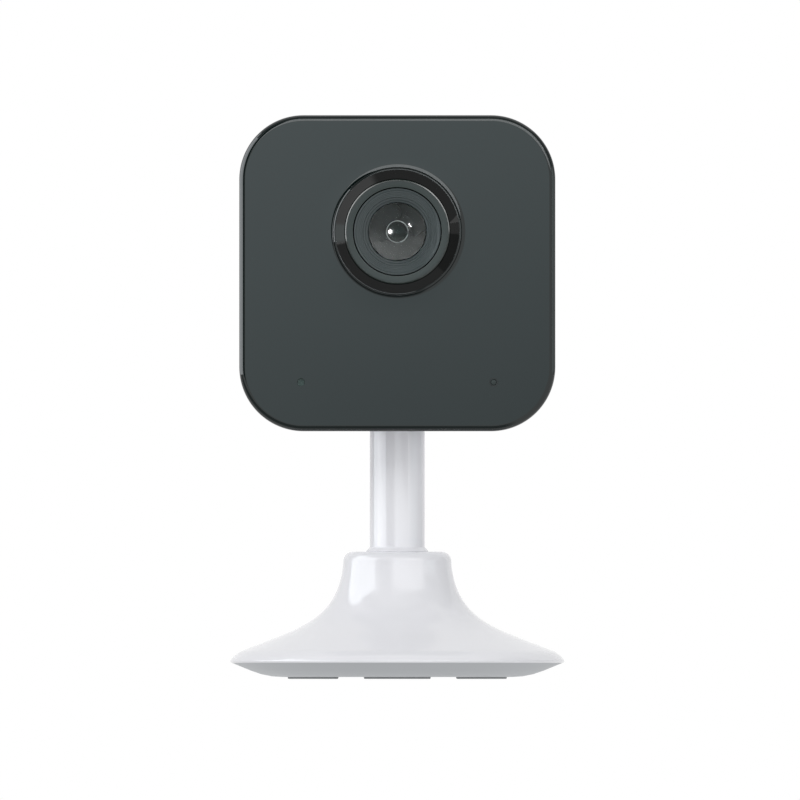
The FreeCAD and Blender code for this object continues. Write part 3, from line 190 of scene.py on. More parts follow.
def arc_between(start: Sequence[float], end: Sequence[float], bulge: float, count: int = 12) -> Array:
    """Points of an arc from start to end.

    The arc's middle lies bulge to the left of the chord's middle, so its radius is
    (half chord squared + bulge squared) / (2 x bulge).

    Args:
        start: first point.
        end: last point.
        bulge: how far the arc's middle stands off the chord, to the left of its direction.
        count: number of points.

    Returns:
        Array of count rows.
    """
    a, b = np.array(start, float), np.array(end, float)
    half = np.linalg.norm(b - a) / 2
    left = np.array([-(b - a)[1], (b - a)[0]]) / (2 * half)
    radius = (half**2 + bulge**2) / (2 * bulge)
    centre = (a + b) / 2 + left * (bulge - radius)
    first, last = a - centre, b - centre
    begin = math.atan2(first[1], first[0])
    sweep = (math.atan2(last[1], last[0]) - begin + math.pi) % TURN - math.pi
    angle = begin + sweep * np.linspace(0, 1, count)
    return centre + abs(radius) * np.column_stack([np.cos(angle), np.sin(angle)])


def bezier(poles: Sequence[Sequence[float]], count: int) -> Array:
    """A cubic curve: its four poles are weighted by (1-t)^3, 3(1-t)^2 t, 3(1-t) t^2 and t^3.

    Args:
        poles: the four poles.
        count: number of points.

    Returns:
        Array of count rows.
    """
    t = np.linspace(0, 1, count)[:, None]
    weights = np.hstack([(1 - t) ** 3, 3 * (1 - t) ** 2 * t, 3 * (1 - t) * t**2, t**3])
    return weights @ np.array(poles, float)


def turned(profile: Array, axis: Axis, centre: tuple[float, float] = (0.0, 0.0),
           segments: int = PLAIN) -> Surface:
    """A turned piece: each (radius, along) of the profile goes once round the axis.

    A point at angle t is centre + radius x (cos t, sin t) in the two other directions.

    Args:
        profile: closed section, or a run that starts and ends on the axis.
        axis: direction of the axis.
        centre: where the axis stands, in the two other directions in the order x, y, z.
        segments: points round the axis.

    Returns:
        The closed surface.
    """
    angle = np.arange(segments) * TURN / segments
    radius, along = profile[:, :1], profile[:, 1:]
    across = [centre[0] + radius * np.cos(angle), centre[1] + radius * np.sin(angle)]
    across.insert(axis.value, np.broadcast_to(along, across[0].shape))
    open_run = abs(profile[0, 0]) < 1e-9 and abs(profile[-1, 0]) < 1e-9
    return grid_surface(np.stack(across, -1), wrapped=not open_run)


@dataclass(frozen=True)
class Outline:
    """A rectangle with round corners in the plane of the face.

    Attributes:
        half_x: half its width.
        half_z: half its height.
        corner: radius of its corners.
        z: height of its middle.
        x: sideways place of its middle.
        per_corner: points on a corner.
        per_side: points on a side.
    """

    half_x: float
    half_z: float
    corner: float
    z: float
    x: float = 0.0
    per_corner: int = 28
    per_side: int = 72

    def loop(self, inset: float, y: float) -> Array:
        """The outline moved inward.

        A corner's point is the corner's centre plus (corner - inset) x its direction, so all loops of one
        outline run side by side; a side's points lie evenly between its two corners.

        Args:
            inset: how far inward.
            y: depth of the loop.

        Returns:
            Array of points by 3.
        """
        quarter = np.linspace(0, math.pi / 2, self.per_corner + 1)
        angle = quarter[None] + np.arange(4)[:, None] * math.pi / 2
        middles = np.array([[1, 1], [-1, 1], [-1, -1], [1, -1]]) * [self.half_x - self.corner,
                                                                   self.half_z - self.corner]
        arcs = middles[:, None] + (self.corner - inset) * np.stack([np.cos(angle), np.sin(angle)], -1)
        share = np.arange(1, self.per_side)[None, :, None] / self.per_side
        sides = arcs[:, -1:] * (1 - share) + np.roll(arcs, -1, 0)[:, :1] * share
        flat = np.concatenate([arcs, sides], 1).reshape(-1, 2)
        return np.column_stack([flat[:, 0] + self.x, np.full(len(flat), y), flat[:, 1] + self.z])

    def loops(self, profile: Array) -> Array:
        """One loop for each (inset, y) of a profile."""
        return np.stack([self.loop(inset, y) for inset, y in profile])


def blended(first: Array, last: Array, count: int) -> Array:
    """Loops evenly spaced between two loops, both left out."""
    share = np.arange(1, count + 1)[:, None, None] / (count + 1)
    return first * (1 - share) + last * share


def circle_towards(loop: Array, radius: float, y: float, centre: tuple[float, float]) -> Array:
    """A circle whose points lie in the directions of a loop's points, seen from the circle's centre."""
    ray = loop[:, [0, 2]] - centre
    ray = ray / np.linalg.norm(ray, axis=1)[:, None] * radius
    return np.column_stack([ray[:, 0] + centre[0], np.full(len(loop), y), ray[:, 1] + centre[1]])


def prism(outline: Array, axis: Axis, low: float, high: float) -> Surface:
    """A flat outline carried straight along an axis and closed at both ends."""
    ends = [np.insert(outline, axis.value, value, axis=1) for value in (low, high)]
    return grid_surface(np.stack(ends), capped=True)


def rod(radius: float, axis: Axis, low: float, high: float, centre: tuple[float, float],
        segments: int = 64) -> Surface:
    """A plain round tool for carving."""
    section = np.array([(0, low), (radius, low), (radius, high), (0, high)], float)
    return turned(section, axis, centre, segments)


def slab(low: Sequence[float], high: Sequence[float]) -> Surface:
    """A square-edged tool for carving, from its lowest to its highest corner."""
    (x0, y0, z0), (x1, y1, z1) = low, high
    return prism(np.array([(x0, y0), (x1, y0), (x1, y1), (x0, y1)], float), Axis.Z, z0, z1)


# ---- Pieces ---------------------------------------------------------------------------------------
def mesh_object(name: str, surface: Surface) -> Object:
    """Makes an object of a surface, in metres, with merged points and faces that point outwards.

    Args:
        name: name of the object.
        surface: its shape.

    Returns:
        The object, linked to the scene.
    """
    mesh = bpy.data.meshes.new(name)
    mesh.from_pydata((surface.points * MM).tolist(), [], surface.faces)
    work = bmesh.new()
    work.from_mesh(mesh)
    bmesh.ops.remove_doubles(work, verts=work.verts, dist=1e-7)
    bmesh.ops.recalc_face_normals(work, faces=work.faces)
    work.to_mesh(mesh)
    work.free()
    made = bpy.data.objects.new(name, mesh)
    bpy.context.scene.collection.objects.link(made)
    return made


def carved(made: Object, surface: Surface, work: Carve) -> Object:
    """Cuts, joins or keeps a tool's volume, and throws the tool away.

    Args:
        made: the piece.
        surface: the tool's shape.
        work: what the tool does.

    Returns:
        The same piece with its new mesh.
    """
    tool = mesh_object("tool", surface)
    step = made.modifiers.new("carve", "BOOLEAN")
    step.object = tool
    step.operation = work.value
    step.solver = "EXACT"
    graph = bpy.context.evaluated_depsgraph_get()
    mesh = bpy.data.meshes.new_from_object(made.evaluated_get(graph))
    made.modifiers.clear()
    old, made.data = made.data, mesh
    bpy.data.meshes.remove(old)
    bpy.data.objects.remove(tool)
    return made


def smoothed(made: Object, angle: float = 32.0) -> Object:
    """Shades a piece smooth, and sharp where two faces meet at more than the angle in degrees."""
    made.data.shade_smooth()
    made.data.set_sharp_from_angle(angle=math.radians(angle))
    return made


@dataclass(frozen=True)
class Place:
    """Where a piece belongs.

    Attributes:
        body: the body it rides on.
        nodes: CAD nodes it stands for.
        slot: the record's finish.
        finish: the material, where it isn't the slot's own.
    """

    body: Body
    nodes: tuple[str, ...]
    slot: str
    finish: str = ""


class Workshop:
    """Makes the pieces, gives them their finishes and ties them to the frame.

    Attributes:
        finishes: material of each slot of the record.
        made: names of the pieces so far.
    """

    def __init__(self, finishes: dict[str, bpy.types.Material]) -> None:
        """Starts with the finishes of the record's slots."""
        self.finishes = finishes
        self.made: list[str] = []

    def fit(self, piece: Object, place: Place) -> None:
        """Dresses a piece and puts it in its place.

        Args:
            piece: the finished mesh object.
            place: its body, nodes and slot.
        """
        piece.data.materials.clear()
        piece.data.materials.append(self.finishes[place.finish or place.slot])
        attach(piece, place.body.value)
        if place.nodes:
            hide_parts(*place.nodes)
        self.made.append(piece.name)
        LOG.info("%s: %d faces on %s", piece.name, len(piece.data.polygons), place.body.value)

    def dress_inside(self, nodes: dict[str, Object]) -> None:
        """Gives every carried-over CAD node the finish of its slot.

        Args:
            nodes: the frame's nodes by name.
        """
        for name, node in nodes.items():
            for slot in node.material_slots:
                slot.material = self.finishes[slot.material.name.split(".")[0]]
            LOG.info("%s keeps its own shape", name)


# ---- The foot -------------------------------------------------------------------------------------
@dataclass(frozen=True)
class Foot:
    """The flared foot: white shell, bottom cover and six pads.

    Attributes:
        height: top of the neck.
        radius: widest circle.
        neck: radius of the neck.
        neck_round: round of the neck's top edge.
        neck_lean: how far the flare leans outwards where it leaves the neck, in degrees.
        pulls: lengths of the flare's pulls at the neck and at the skirt.
        bore: hole for the stem's spindle.
        wall: wall of the shell.
        skirt: slope of the skirt, in degrees.
        skirt_run: length of the straight skirt.
        skirt_end: how far inside the widest circle, and how far over it, the skirt ends.
        rim_z: height of the widest circle.
        edge_start: radius and height at which the rim's round edge starts.
        edge: corner and round of the rim's edge.
        ledge_z: height of the ledge that the cover meets.
        seam: radius and height of the seam under the rim.
        seam_round: round of the shell's edge at the seam.
        lip: radius and height at which the shell's thin lip starts inside.
        cover_z: height of the cover's flat.
        cover_slope: slope of the cover's edge in degrees, and the round by which it runs out into the flat.
        cover_round: round of the cover's edge at the seam.
        cover_gap: gap between cover and shell at the seam and at the lip.
        cover_wall: thickness of the cover's collar and of its floor.
        boss: radius and lower end of the swivel boss inside.
        screw_ring: radius of the circle that the screws stand on.
        screw_count: number of screws.
        screw_hole: radius of a screw's hole in the cover.
        pad_ring: inner and outer radius of the pads.
        pad_arc: width of a pad, in degrees.
        pad_count: number of pads.
        pad_thick: thickness of a pad.
        pad_round: round of a pad's lower edge.
        pad_gap: gap round a pad in its pocket.
    """

    height: float = FOOT_TOP
    radius: float = 31.0
    neck: float = 10.0
    neck_round: float = 1.9
    neck_lean: float = 4.8
    pulls: tuple[float, float] = (9.4, 8.2)
    bore: float = 3.55
    wall: float = 2.0
    skirt: float = 21.0
    skirt_run: float = 5.0
    skirt_end: tuple[float, float] = (2.4, 2.0)
    rim_z: float = 3.3
    edge_start: tuple[float, float] = (30.9, 3.53)
    edge: tuple[float, float, float] = (31.165, 3.17, 0.33)
    ledge_z: float = 3.95
    seam: tuple[float, float] = (30.72, 2.985)
    seam_round: float = 0.02
    lip: tuple[float, float] = (29.6, 3.3)
    cover_z: float = 0.35
    cover_slope: tuple[float, float] = (22.5, 15.5)
    cover_round: float = 0.04
    cover_gap: tuple[float, float] = (0.08, 0.1)
    cover_wall: tuple[float, float] = (1.2, 1.25)
    boss: tuple[float, float] = (6.5, 11.9)
    screw_ring: float = 18.45
    screw_count: int = 3
    screw_hole: float = 2.1
    pad_ring: tuple[float, float] = (16.1, 20.8)
    pad_arc: float = 34.6
    pad_count: int = 6
    pad_thick: float = 0.85
    pad_round: float = 0.18
    pad_gap: float = 0.1

    def flare(self, inward: float, count: int) -> Array:
        """The neck, flare and straight skirt, moved inward.

        The flare is a cubic curve that leaves the neck at its lean and meets the skirt's slope.

        Args:
            inward: how far the line lies inside the outer form.
            count: points on the curve.

        Returns:
            (radius, height) rows from the neck to the skirt's lower end.
        """
        across, down = math.cos(math.radians(self.skirt)), math.sin(math.radians(self.skirt))
        lean = math.radians(self.neck_lean)
        inset, rise = self.skirt_end
        end = np.array([self.radius - inset - inward * down, self.rim_z + rise - inward * across])
        start = end + np.array([-across, down]) * self.skirt_run
        neck = np.array([self.neck - inward, self.height - self.neck_round])
        pull = neck + np.array([math.sin(lean), -math.cos(lean)]) * self.pulls[0]
        curve = bezier([neck, pull, start + np.array([-across, down]) * self.pulls[1], start], count)
        return np.vstack([curve, blended(start[None, None], end[None, None], 3)[:, 0], end])

    def rim(self, start: Array) -> Array:
        """The arc from the skirt to the rim's round edge: its bulge follows from the skirt's direction.

        With the angle between chord and skirt, the bulge is half the chord x tan(half that angle).

        Args:
            start: (radius, height) of the skirt's lower end.

        Returns:
            (radius, height) rows, without the start.
        """
        end = np.array(self.edge_start)
        chord = end - start
        lean = math.atan2(-chord[1], chord[0]) - math.radians(self.skirt)
        return arc_between(start, end, float(np.linalg.norm(chord)) / 2 * math.tan(lean / 2), 14)[1:]

    def shell(self) -> Surface:
        """The white shell, turned from one closed section.

        Returns:
            The closed shell.
        """
        outer = self.flare(0.0, 72)
        inner = self.flare(self.wall, 40)[::-1]
        slope = (inner[0][1] - self.ledge_z) / math.tan(math.radians(self.skirt))
        crown = self.height - self.wall
        top = eased([(self.bore, self.height), (self.neck, self.height, self.neck_round), tuple(outer[2])],
                    closed=False, step=6.0)[:-1]
        rim = self.rim(outer[-1])
        edge = eased([tuple(rim[-1]), self.edge, (*self.seam, self.seam_round), (self.seam[0], self.lip[1]),
                      self.lip, (self.lip[0], self.ledge_z)], closed=False, step=6.0)[1:]
        inside = [(inner[0][0] + slope, self.ledge_z)]
        core = [(inner[-1][0], crown), (self.boss[0], crown), self.boss, (self.bore, self.boss[1])]
        section = np.vstack([top, outer[1:], rim, edge, inside, inner, core])
        return turned(section, Axis.Z, segments=FINE)

    def screw_places(self) -> list[tuple[float, float]]:
        """(x, y) of the screws, the first in front."""
        angles = [TURN * i / self.screw_count for i in range(self.screw_count)]
        return [(self.screw_ring * math.sin(a), -self.screw_ring * math.cos(a)) for a in angles]

    def cover(self) -> Surface:
        """The shallow grey dish that closes the foot.

        Returns:
            The closed dish, without its pockets and holes.
        """
        collar, thick = self.cover_wall
        outer, wall = self.seam[0] - self.cover_gap[0], self.lip[0] - self.cover_gap[1]
        step = self.lip[1] - PLAY
        flat = outer - (self.seam[1] - self.cover_z) / math.tan(math.radians(self.cover_slope[0]))
        top, floor = self.ledge_z - PLAY, self.cover_z + thick
        section = eased([(0, self.cover_z), (flat, self.cover_z, self.cover_slope[1]),
                         (outer, self.seam[1], self.cover_round), (outer, step), (wall, step), (wall, top),
                         (wall - collar, top), (wall - collar, self.lip[1]), (flat, floor), (0, floor)],
                        closed=False)
        return turned(section, Axis.Z, segments=FINE)

    def pad(self, index: int, grow: float, low: float, edge: float) -> Surface:
        """One pad: a piece of a ring, with a small round at its lower edge.

        A loop inset by d runs along the inner radius + d, the outer radius - d and the ends turned in by d.

        Args:
            index: number of the pad, the first one in front.
            grow: how far its sides are moved out.
            low: height of its lower face.
            edge: round of its lower edge.

        Returns:
            The closed pad.
        """
        inner, outer = self.pad_ring[0] - grow, self.pad_ring[1] + grow
        half = math.radians(self.pad_arc) / 2 + grow / self.pad_ring[1]
        if edge:
            profile = eased([(edge * 1.5, low), (0, low, edge), (0, self.pad_thick)], closed=False)
        else:
            profile = np.array([(0, low), (0, self.pad_thick)])
        middle = TURN * index / self.pad_count - math.pi / 2
        share = np.linspace(-1, 1, 20)
        inset, height = profile[:, :1], profile[:, 1:]
        far = middle + share * (half - inset / outer)
        near = middle - share * (half - inset / inner)
        x = np.hstack([(outer - inset) * np.cos(far), (inner + inset) * np.cos(near)])
        y = np.hstack([(outer - inset) * np.sin(far), (inner + inset) * np.sin(near)])
        return grid_surface(np.stack([x, y, np.broadcast_to(height, x.shape)], -1), capped=True)

    def pads(self, grow: float, low: float, edge: float) -> Surface:
        """All pads in one surface.

        Args:
            grow: how far their sides are moved out.
            low: height of their lower faces.
            edge: round of their lower edges.

        Returns:
            The closed pads.
        """
        whole = self.pad(0, grow, low, edge)
        for index in range(1, self.pad_count):
            whole = whole + self.pad(index, grow, low, edge)
        return whole

    def build(self, shop: Workshop) -> None:
        """Makes and dresses the foot's pieces.

        Args:
            shop: the workshop that fits them.
        """
        shell = smoothed(mesh_object("foot_shell", self.shell()))
        shop.fit(shell, Place(Body.BASE, ("base_shell",), "shell_white"))
        pockets = self.pads(self.pad_gap, -self.pad_gap, 0.0)
        cover = carved(mesh_object("foot_bottom_cover", self.cover()), pockets, Carve.CUT)
        low, high = -PAST / 2, self.pad_thick + self.cover_wall[1]
        for place in self.screw_places():
            cover = carved(cover, rod(self.screw_hole, Axis.Z, low, high, place, 40), Carve.CUT)
        shop.fit(smoothed(cover), Place(Body.BASE, ("base_bottom_cover",), "cover_grey"))
        pads = smoothed(mesh_object("foot_rubber_pads", self.pads(0.0, 0.0, self.pad_round)))
        shop.fit(pads, Place(Body.BASE, ("foot_pads",), "pad_rubber"))


# ---- The stem -------------------------------------------------------------------------------------
@dataclass(frozen=True)
class Stem:
    """The round stem with its collar and hinge knuckle, the washers and the pin.

    Attributes:
        radius: radius of the shaft and of the knuckle.
        foot_top: height at which the collar stands on the foot.
        spindle: radius and lower end of the spindle in the foot, and the round of that end.
        collar: extra radius and height of the collar.
        collar_rounds: round of the collar's foot and of its top.
        pivot_z: height of the hinge.
        knuckle: half the knuckle's width.
        knuckle_round: round of the knuckle's edges.
        overlap: how far the knuckle stands over the shaft, so that the two join cleanly.
        pin: radius and half length of the pin, and the round of its ends.
        washer: radius and thickness of a washer, and the round of its edge.
    """

    radius: float = 5.1
    foot_top: float = FOOT_TOP
    spindle: tuple[float, float, float] = (3.5, 11.1, 0.2)
    collar: tuple[float, float] = (0.78, 0.8)
    collar_rounds: tuple[float, float] = (0.08, 0.4)
    pivot_z: float = PIVOT_Z
    knuckle: float = 4.5
    knuckle_round: float = 0.25
    overlap: float = 0.002
    pin: tuple[float, float, float] = (1.5, 8.9, 0.25)
    washer: tuple[float, float, float] = (4.4, 1.0, 0.15)

    def shaft(self) -> Object:
        """The shaft with its spindle and collar, cut flat beside the knuckle and joined to it.

        Returns:
            The stem's mesh object.
        """
        wide, low, end_round = self.spindle
        flare, rise = self.collar
        foot_round, top_round = self.collar_rounds
        section = eased([(0, low), (wide, low, end_round), (wide, self.foot_top),
                         (self.radius + flare, self.foot_top, foot_round),
                         (self.radius, self.foot_top + rise, top_round), (self.radius, self.pivot_z),
                         (0, self.pivot_z)], closed=False)
        made = mesh_object("stem_shaft", turned(section, Axis.Z, segments=FINE))
        reach, top = self.radius + PAST, self.pivot_z + self.radius + PAST
        for side in (-1, 1):
            near, far = sorted((side * self.knuckle, side * reach))
            beside = slab((near, -reach, self.pivot_z - self.radius), (far, reach, top))
            made = carved(made, beside, Carve.CUT)
        centre = (0.0, self.pivot_z)
        over = self.radius + self.overlap
        knuckle = eased([(0, -self.knuckle), (over, -self.knuckle, self.knuckle_round),
                         (over, self.knuckle, self.knuckle_round), (0, self.knuckle)], closed=False)
        made = carved(made, turned(knuckle, Axis.X, centre, FINE), Carve.JOIN)
        return carved(made, rod(self.pin[0] + PLAY, Axis.X, -reach, reach, centre, 48), Carve.CUT)

    def washers(self) -> Surface:
        """The two friction washers beside the knuckle.

        Returns:
            Both closed washers.
        """
        start, bore = self.knuckle + PLAY, self.pin[0] + PLAY
        outer, thick, edge = self.washer
        section = eased([(bore, start), (outer, start, edge), (outer, start + thick, edge),
                         (bore, start + thick)])
        ring = turned(section, Axis.X, (0.0, self.pivot_z))
        return ring + Surface(ring.points * [-1, 1, 1], [face[::-1] for face in ring.faces])

    def hinge_pin(self) -> Surface:
        """The steel pin with eased ends.

        Returns:
            The closed pin.
        """
        radius, half, edge = self.pin
        section = eased([(0, -half), (radius, -half, edge), (radius, half, edge), (0, half)], closed=False)
        return turned(section, Axis.X, (0.0, self.pivot_z), 64)

    def build(self, shop: Workshop) -> None:
        """Makes and dresses the stem's pieces.

        Args:
            shop: the workshop that fits them.
        """
        shop.fit(smoothed(self.shaft()), Place(Body.STEM, ("stem",), "shell_white"))
        washers = smoothed(mesh_object("hinge_friction_washers", self.washers()))
        shop.fit(washers, Place(Body.HEAD, ("hinge_washers",), "steel_bright"))
        pin = smoothed(mesh_object("hinge_steel_pin", self.hinge_pin()))
        shop.fit(pin, Place(Body.HEAD, ("hinge_pin",), "steel_bright"))


# ---- The face -------------------------------------------------------------------------------------
@dataclass(frozen=True)
class Face:
    """The dark glossy front cover with the lens mouth and two eyelets, the light pipe and the mesh.

    Attributes:
        outline: outer form of the cover.
        front: depth of the face.
        seam: depth of the seam behind.
        plate_back: depth of the plate's back.
        wall: side wall.
        edge: round of the front edge.
        seam_round: round of the side wall's edges at the seam.
        back_flat: round between wall and plate inside, and width of the flat loop beside it.
        lens: (x, z) of the lens.
        mouth: radius of the lens mouth, and where the flare round it starts.
        mouth_edge: width and depth of the bevel at the mouth's edge.
        flare: how far the flare rises over the face.
        lean: how far the flare's outer circle lies off the mouth's, in x and z.
        eyelet: (x, z) of the lamp's eyelet; the microphone's lies opposite.
        lamp_hole: radius of the lamp's eyelet.
        pipe: radius of the light pipe in it, and how far its tip lies behind the face.
        pipe_dome: height of the tip's dome, and its bulge.
        pipe_bevel: width and depth of the bevel round the tip.
        pipe_foot: radius and thickness of the pipe's foot.
        microphone_hole: radius of the microphone's eyelet.
        mesh: how far the acoustic mesh lies behind the face, its thickness and the gap round it.
    """

    outline: Outline = Outline(29.3, 29.3, 11.9, HEAD_Z)
    front: float = FACE_Y
    seam: float = -12.0
    plate_back: float = -15.0
    wall: float = 1.8
    edge: float = 1.1
    seam_round: float = 0.12
    back_flat: tuple[float, float] = (0.3, 0.5)
    lens: tuple[float, float] = LENS_XZ
    mouth: tuple[float, float] = (11.96, 12.48)
    mouth_edge: tuple[float, float] = (0.02, 0.03)
    flare: float = 0.1
    lean: tuple[float, float] = (0.16, 0.12)
    eyelet: tuple[float, float] = (17.85, 55.0)
    lamp_hole: float = 0.86
    pipe: tuple[float, float] = (0.55, 0.1)
    pipe_dome: tuple[float, float] = (0.005, 0.001)
    pipe_bevel: tuple[float, float] = (0.08, 0.09)
    pipe_foot: tuple[float, float] = (1.6, 0.8)
    microphone_hole: float = 0.72
    mesh: tuple[float, float, float] = (0.32, 0.1, 0.005)

    def cover(self) -> Surface:
        """The cover as one ring of loops: round the edge, along the inside, through the mouth, over the face.

        Loops of the outside follow the outline, those of the mouth are circles, and those of the two flats
        lie evenly between both. Round the mouth the face rises by the flare x (1 - s)^2, where s goes from 0
        at the mouth to 1 where the flare starts, and the circles' middles move by the lean x s.

        Returns:
            The closed cover, without its eyelets.
        """
        radius, start = self.mouth
        wide, deep = self.mouth_edge
        inner_round, flat = self.back_flat
        side = eased([(self.edge + 1e-3, self.front), (0, self.front, self.edge),
                      (0, self.seam, self.seam_round), (self.wall, self.seam, self.seam_round),
                      (self.wall, self.plate_back, inner_round), (self.wall + flat, self.plate_back)],
                     closed=False, step=5.0)
        outside = self.outline.loops(side)
        guide = outside[0]
        share = np.linspace(0, 1, 18)
        rise = self.front - self.flare * (1 - share) ** 2
        ledge = np.array([(0, radius, self.plate_back), (0, radius, rise[0] + deep)])
        flare = np.column_stack([share, radius + wide + (start - radius) * share, rise])
        (x, z), (aside, up) = self.lens, self.lean
        mouth = np.stack([circle_towards(guide, r, y, (x + aside * s, z + up * s))
                          for s, r, y in np.vstack([ledge, flare])])
        back = blended(outside[-1], mouth[0], 5)
        face = blended(mouth[-1], outside[0], 5)
        return grid_surface(np.concatenate([outside, back, mouth, face]), wrapped=True)

    def light_pipe(self) -> Surface:
        """The clear pipe behind the lamp's eyelet, with a faintly domed tip.

        Returns:
            The closed pipe.
        """
        radius, sunk = self.pipe
        tip = self.front + sunk
        edge = (radius - self.pipe_bevel[0], tip + self.pipe_dome[0])
        dome = arc_between((0, tip), edge, self.pipe_dome[1], 6)
        foot, thick = self.pipe_foot
        rest = [(radius, tip + self.pipe_bevel[1]), (radius, self.plate_back), (foot, self.plate_back),
                (foot, self.plate_back + thick), (0, self.plate_back + thick)]
        return turned(np.vstack([dome, rest]), Axis.Y, self.eyelet, 64)

    def acoustic_mesh(self) -> Surface:
        """The fine mesh disc in the microphone's eyelet.

        Returns:
            The closed disc.
        """
        sunk, thick, gap = self.mesh
        front, radius = self.front + sunk, self.microphone_hole - gap
        section = np.array([(0, front), (radius, front), (radius, front + thick), (0, front + thick)])
        return turned(section, Axis.Y, (-self.eyelet[0], self.eyelet[1]), 64)

    def build(self, shop: Workshop) -> None:
        """Makes and dresses the cover, the light pipe and the microphone's mesh.

        Args:
            shop: the workshop that fits them.
        """
        cover = mesh_object("face_cover", self.cover())
        x, z = self.eyelet
        ends = (self.front - PAST, self.plate_back + PAST)
        cover = carved(cover, rod(self.lamp_hole, Axis.Y, *ends, (x, z)), Carve.CUT)
        cover = carved(cover, rod(self.microphone_hole, Axis.Y, *ends, (-x, z)), Carve.CUT)
        shop.fit(smoothed(cover), Place(Body.HEAD, ("front_cover",), "face_dark"))
        pipe = smoothed(mesh_object("status_light_pipe", self.light_pipe()))
        shop.fit(pipe, Place(Body.HEAD, ("light_pipe",), "pipe_clear"))
        mesh = smoothed(mesh_object("microphone_mesh", self.acoustic_mesh()))
        shop.fit(mesh, Place(Body.HEAD, (), "pad_rubber", "mesh_dark"))


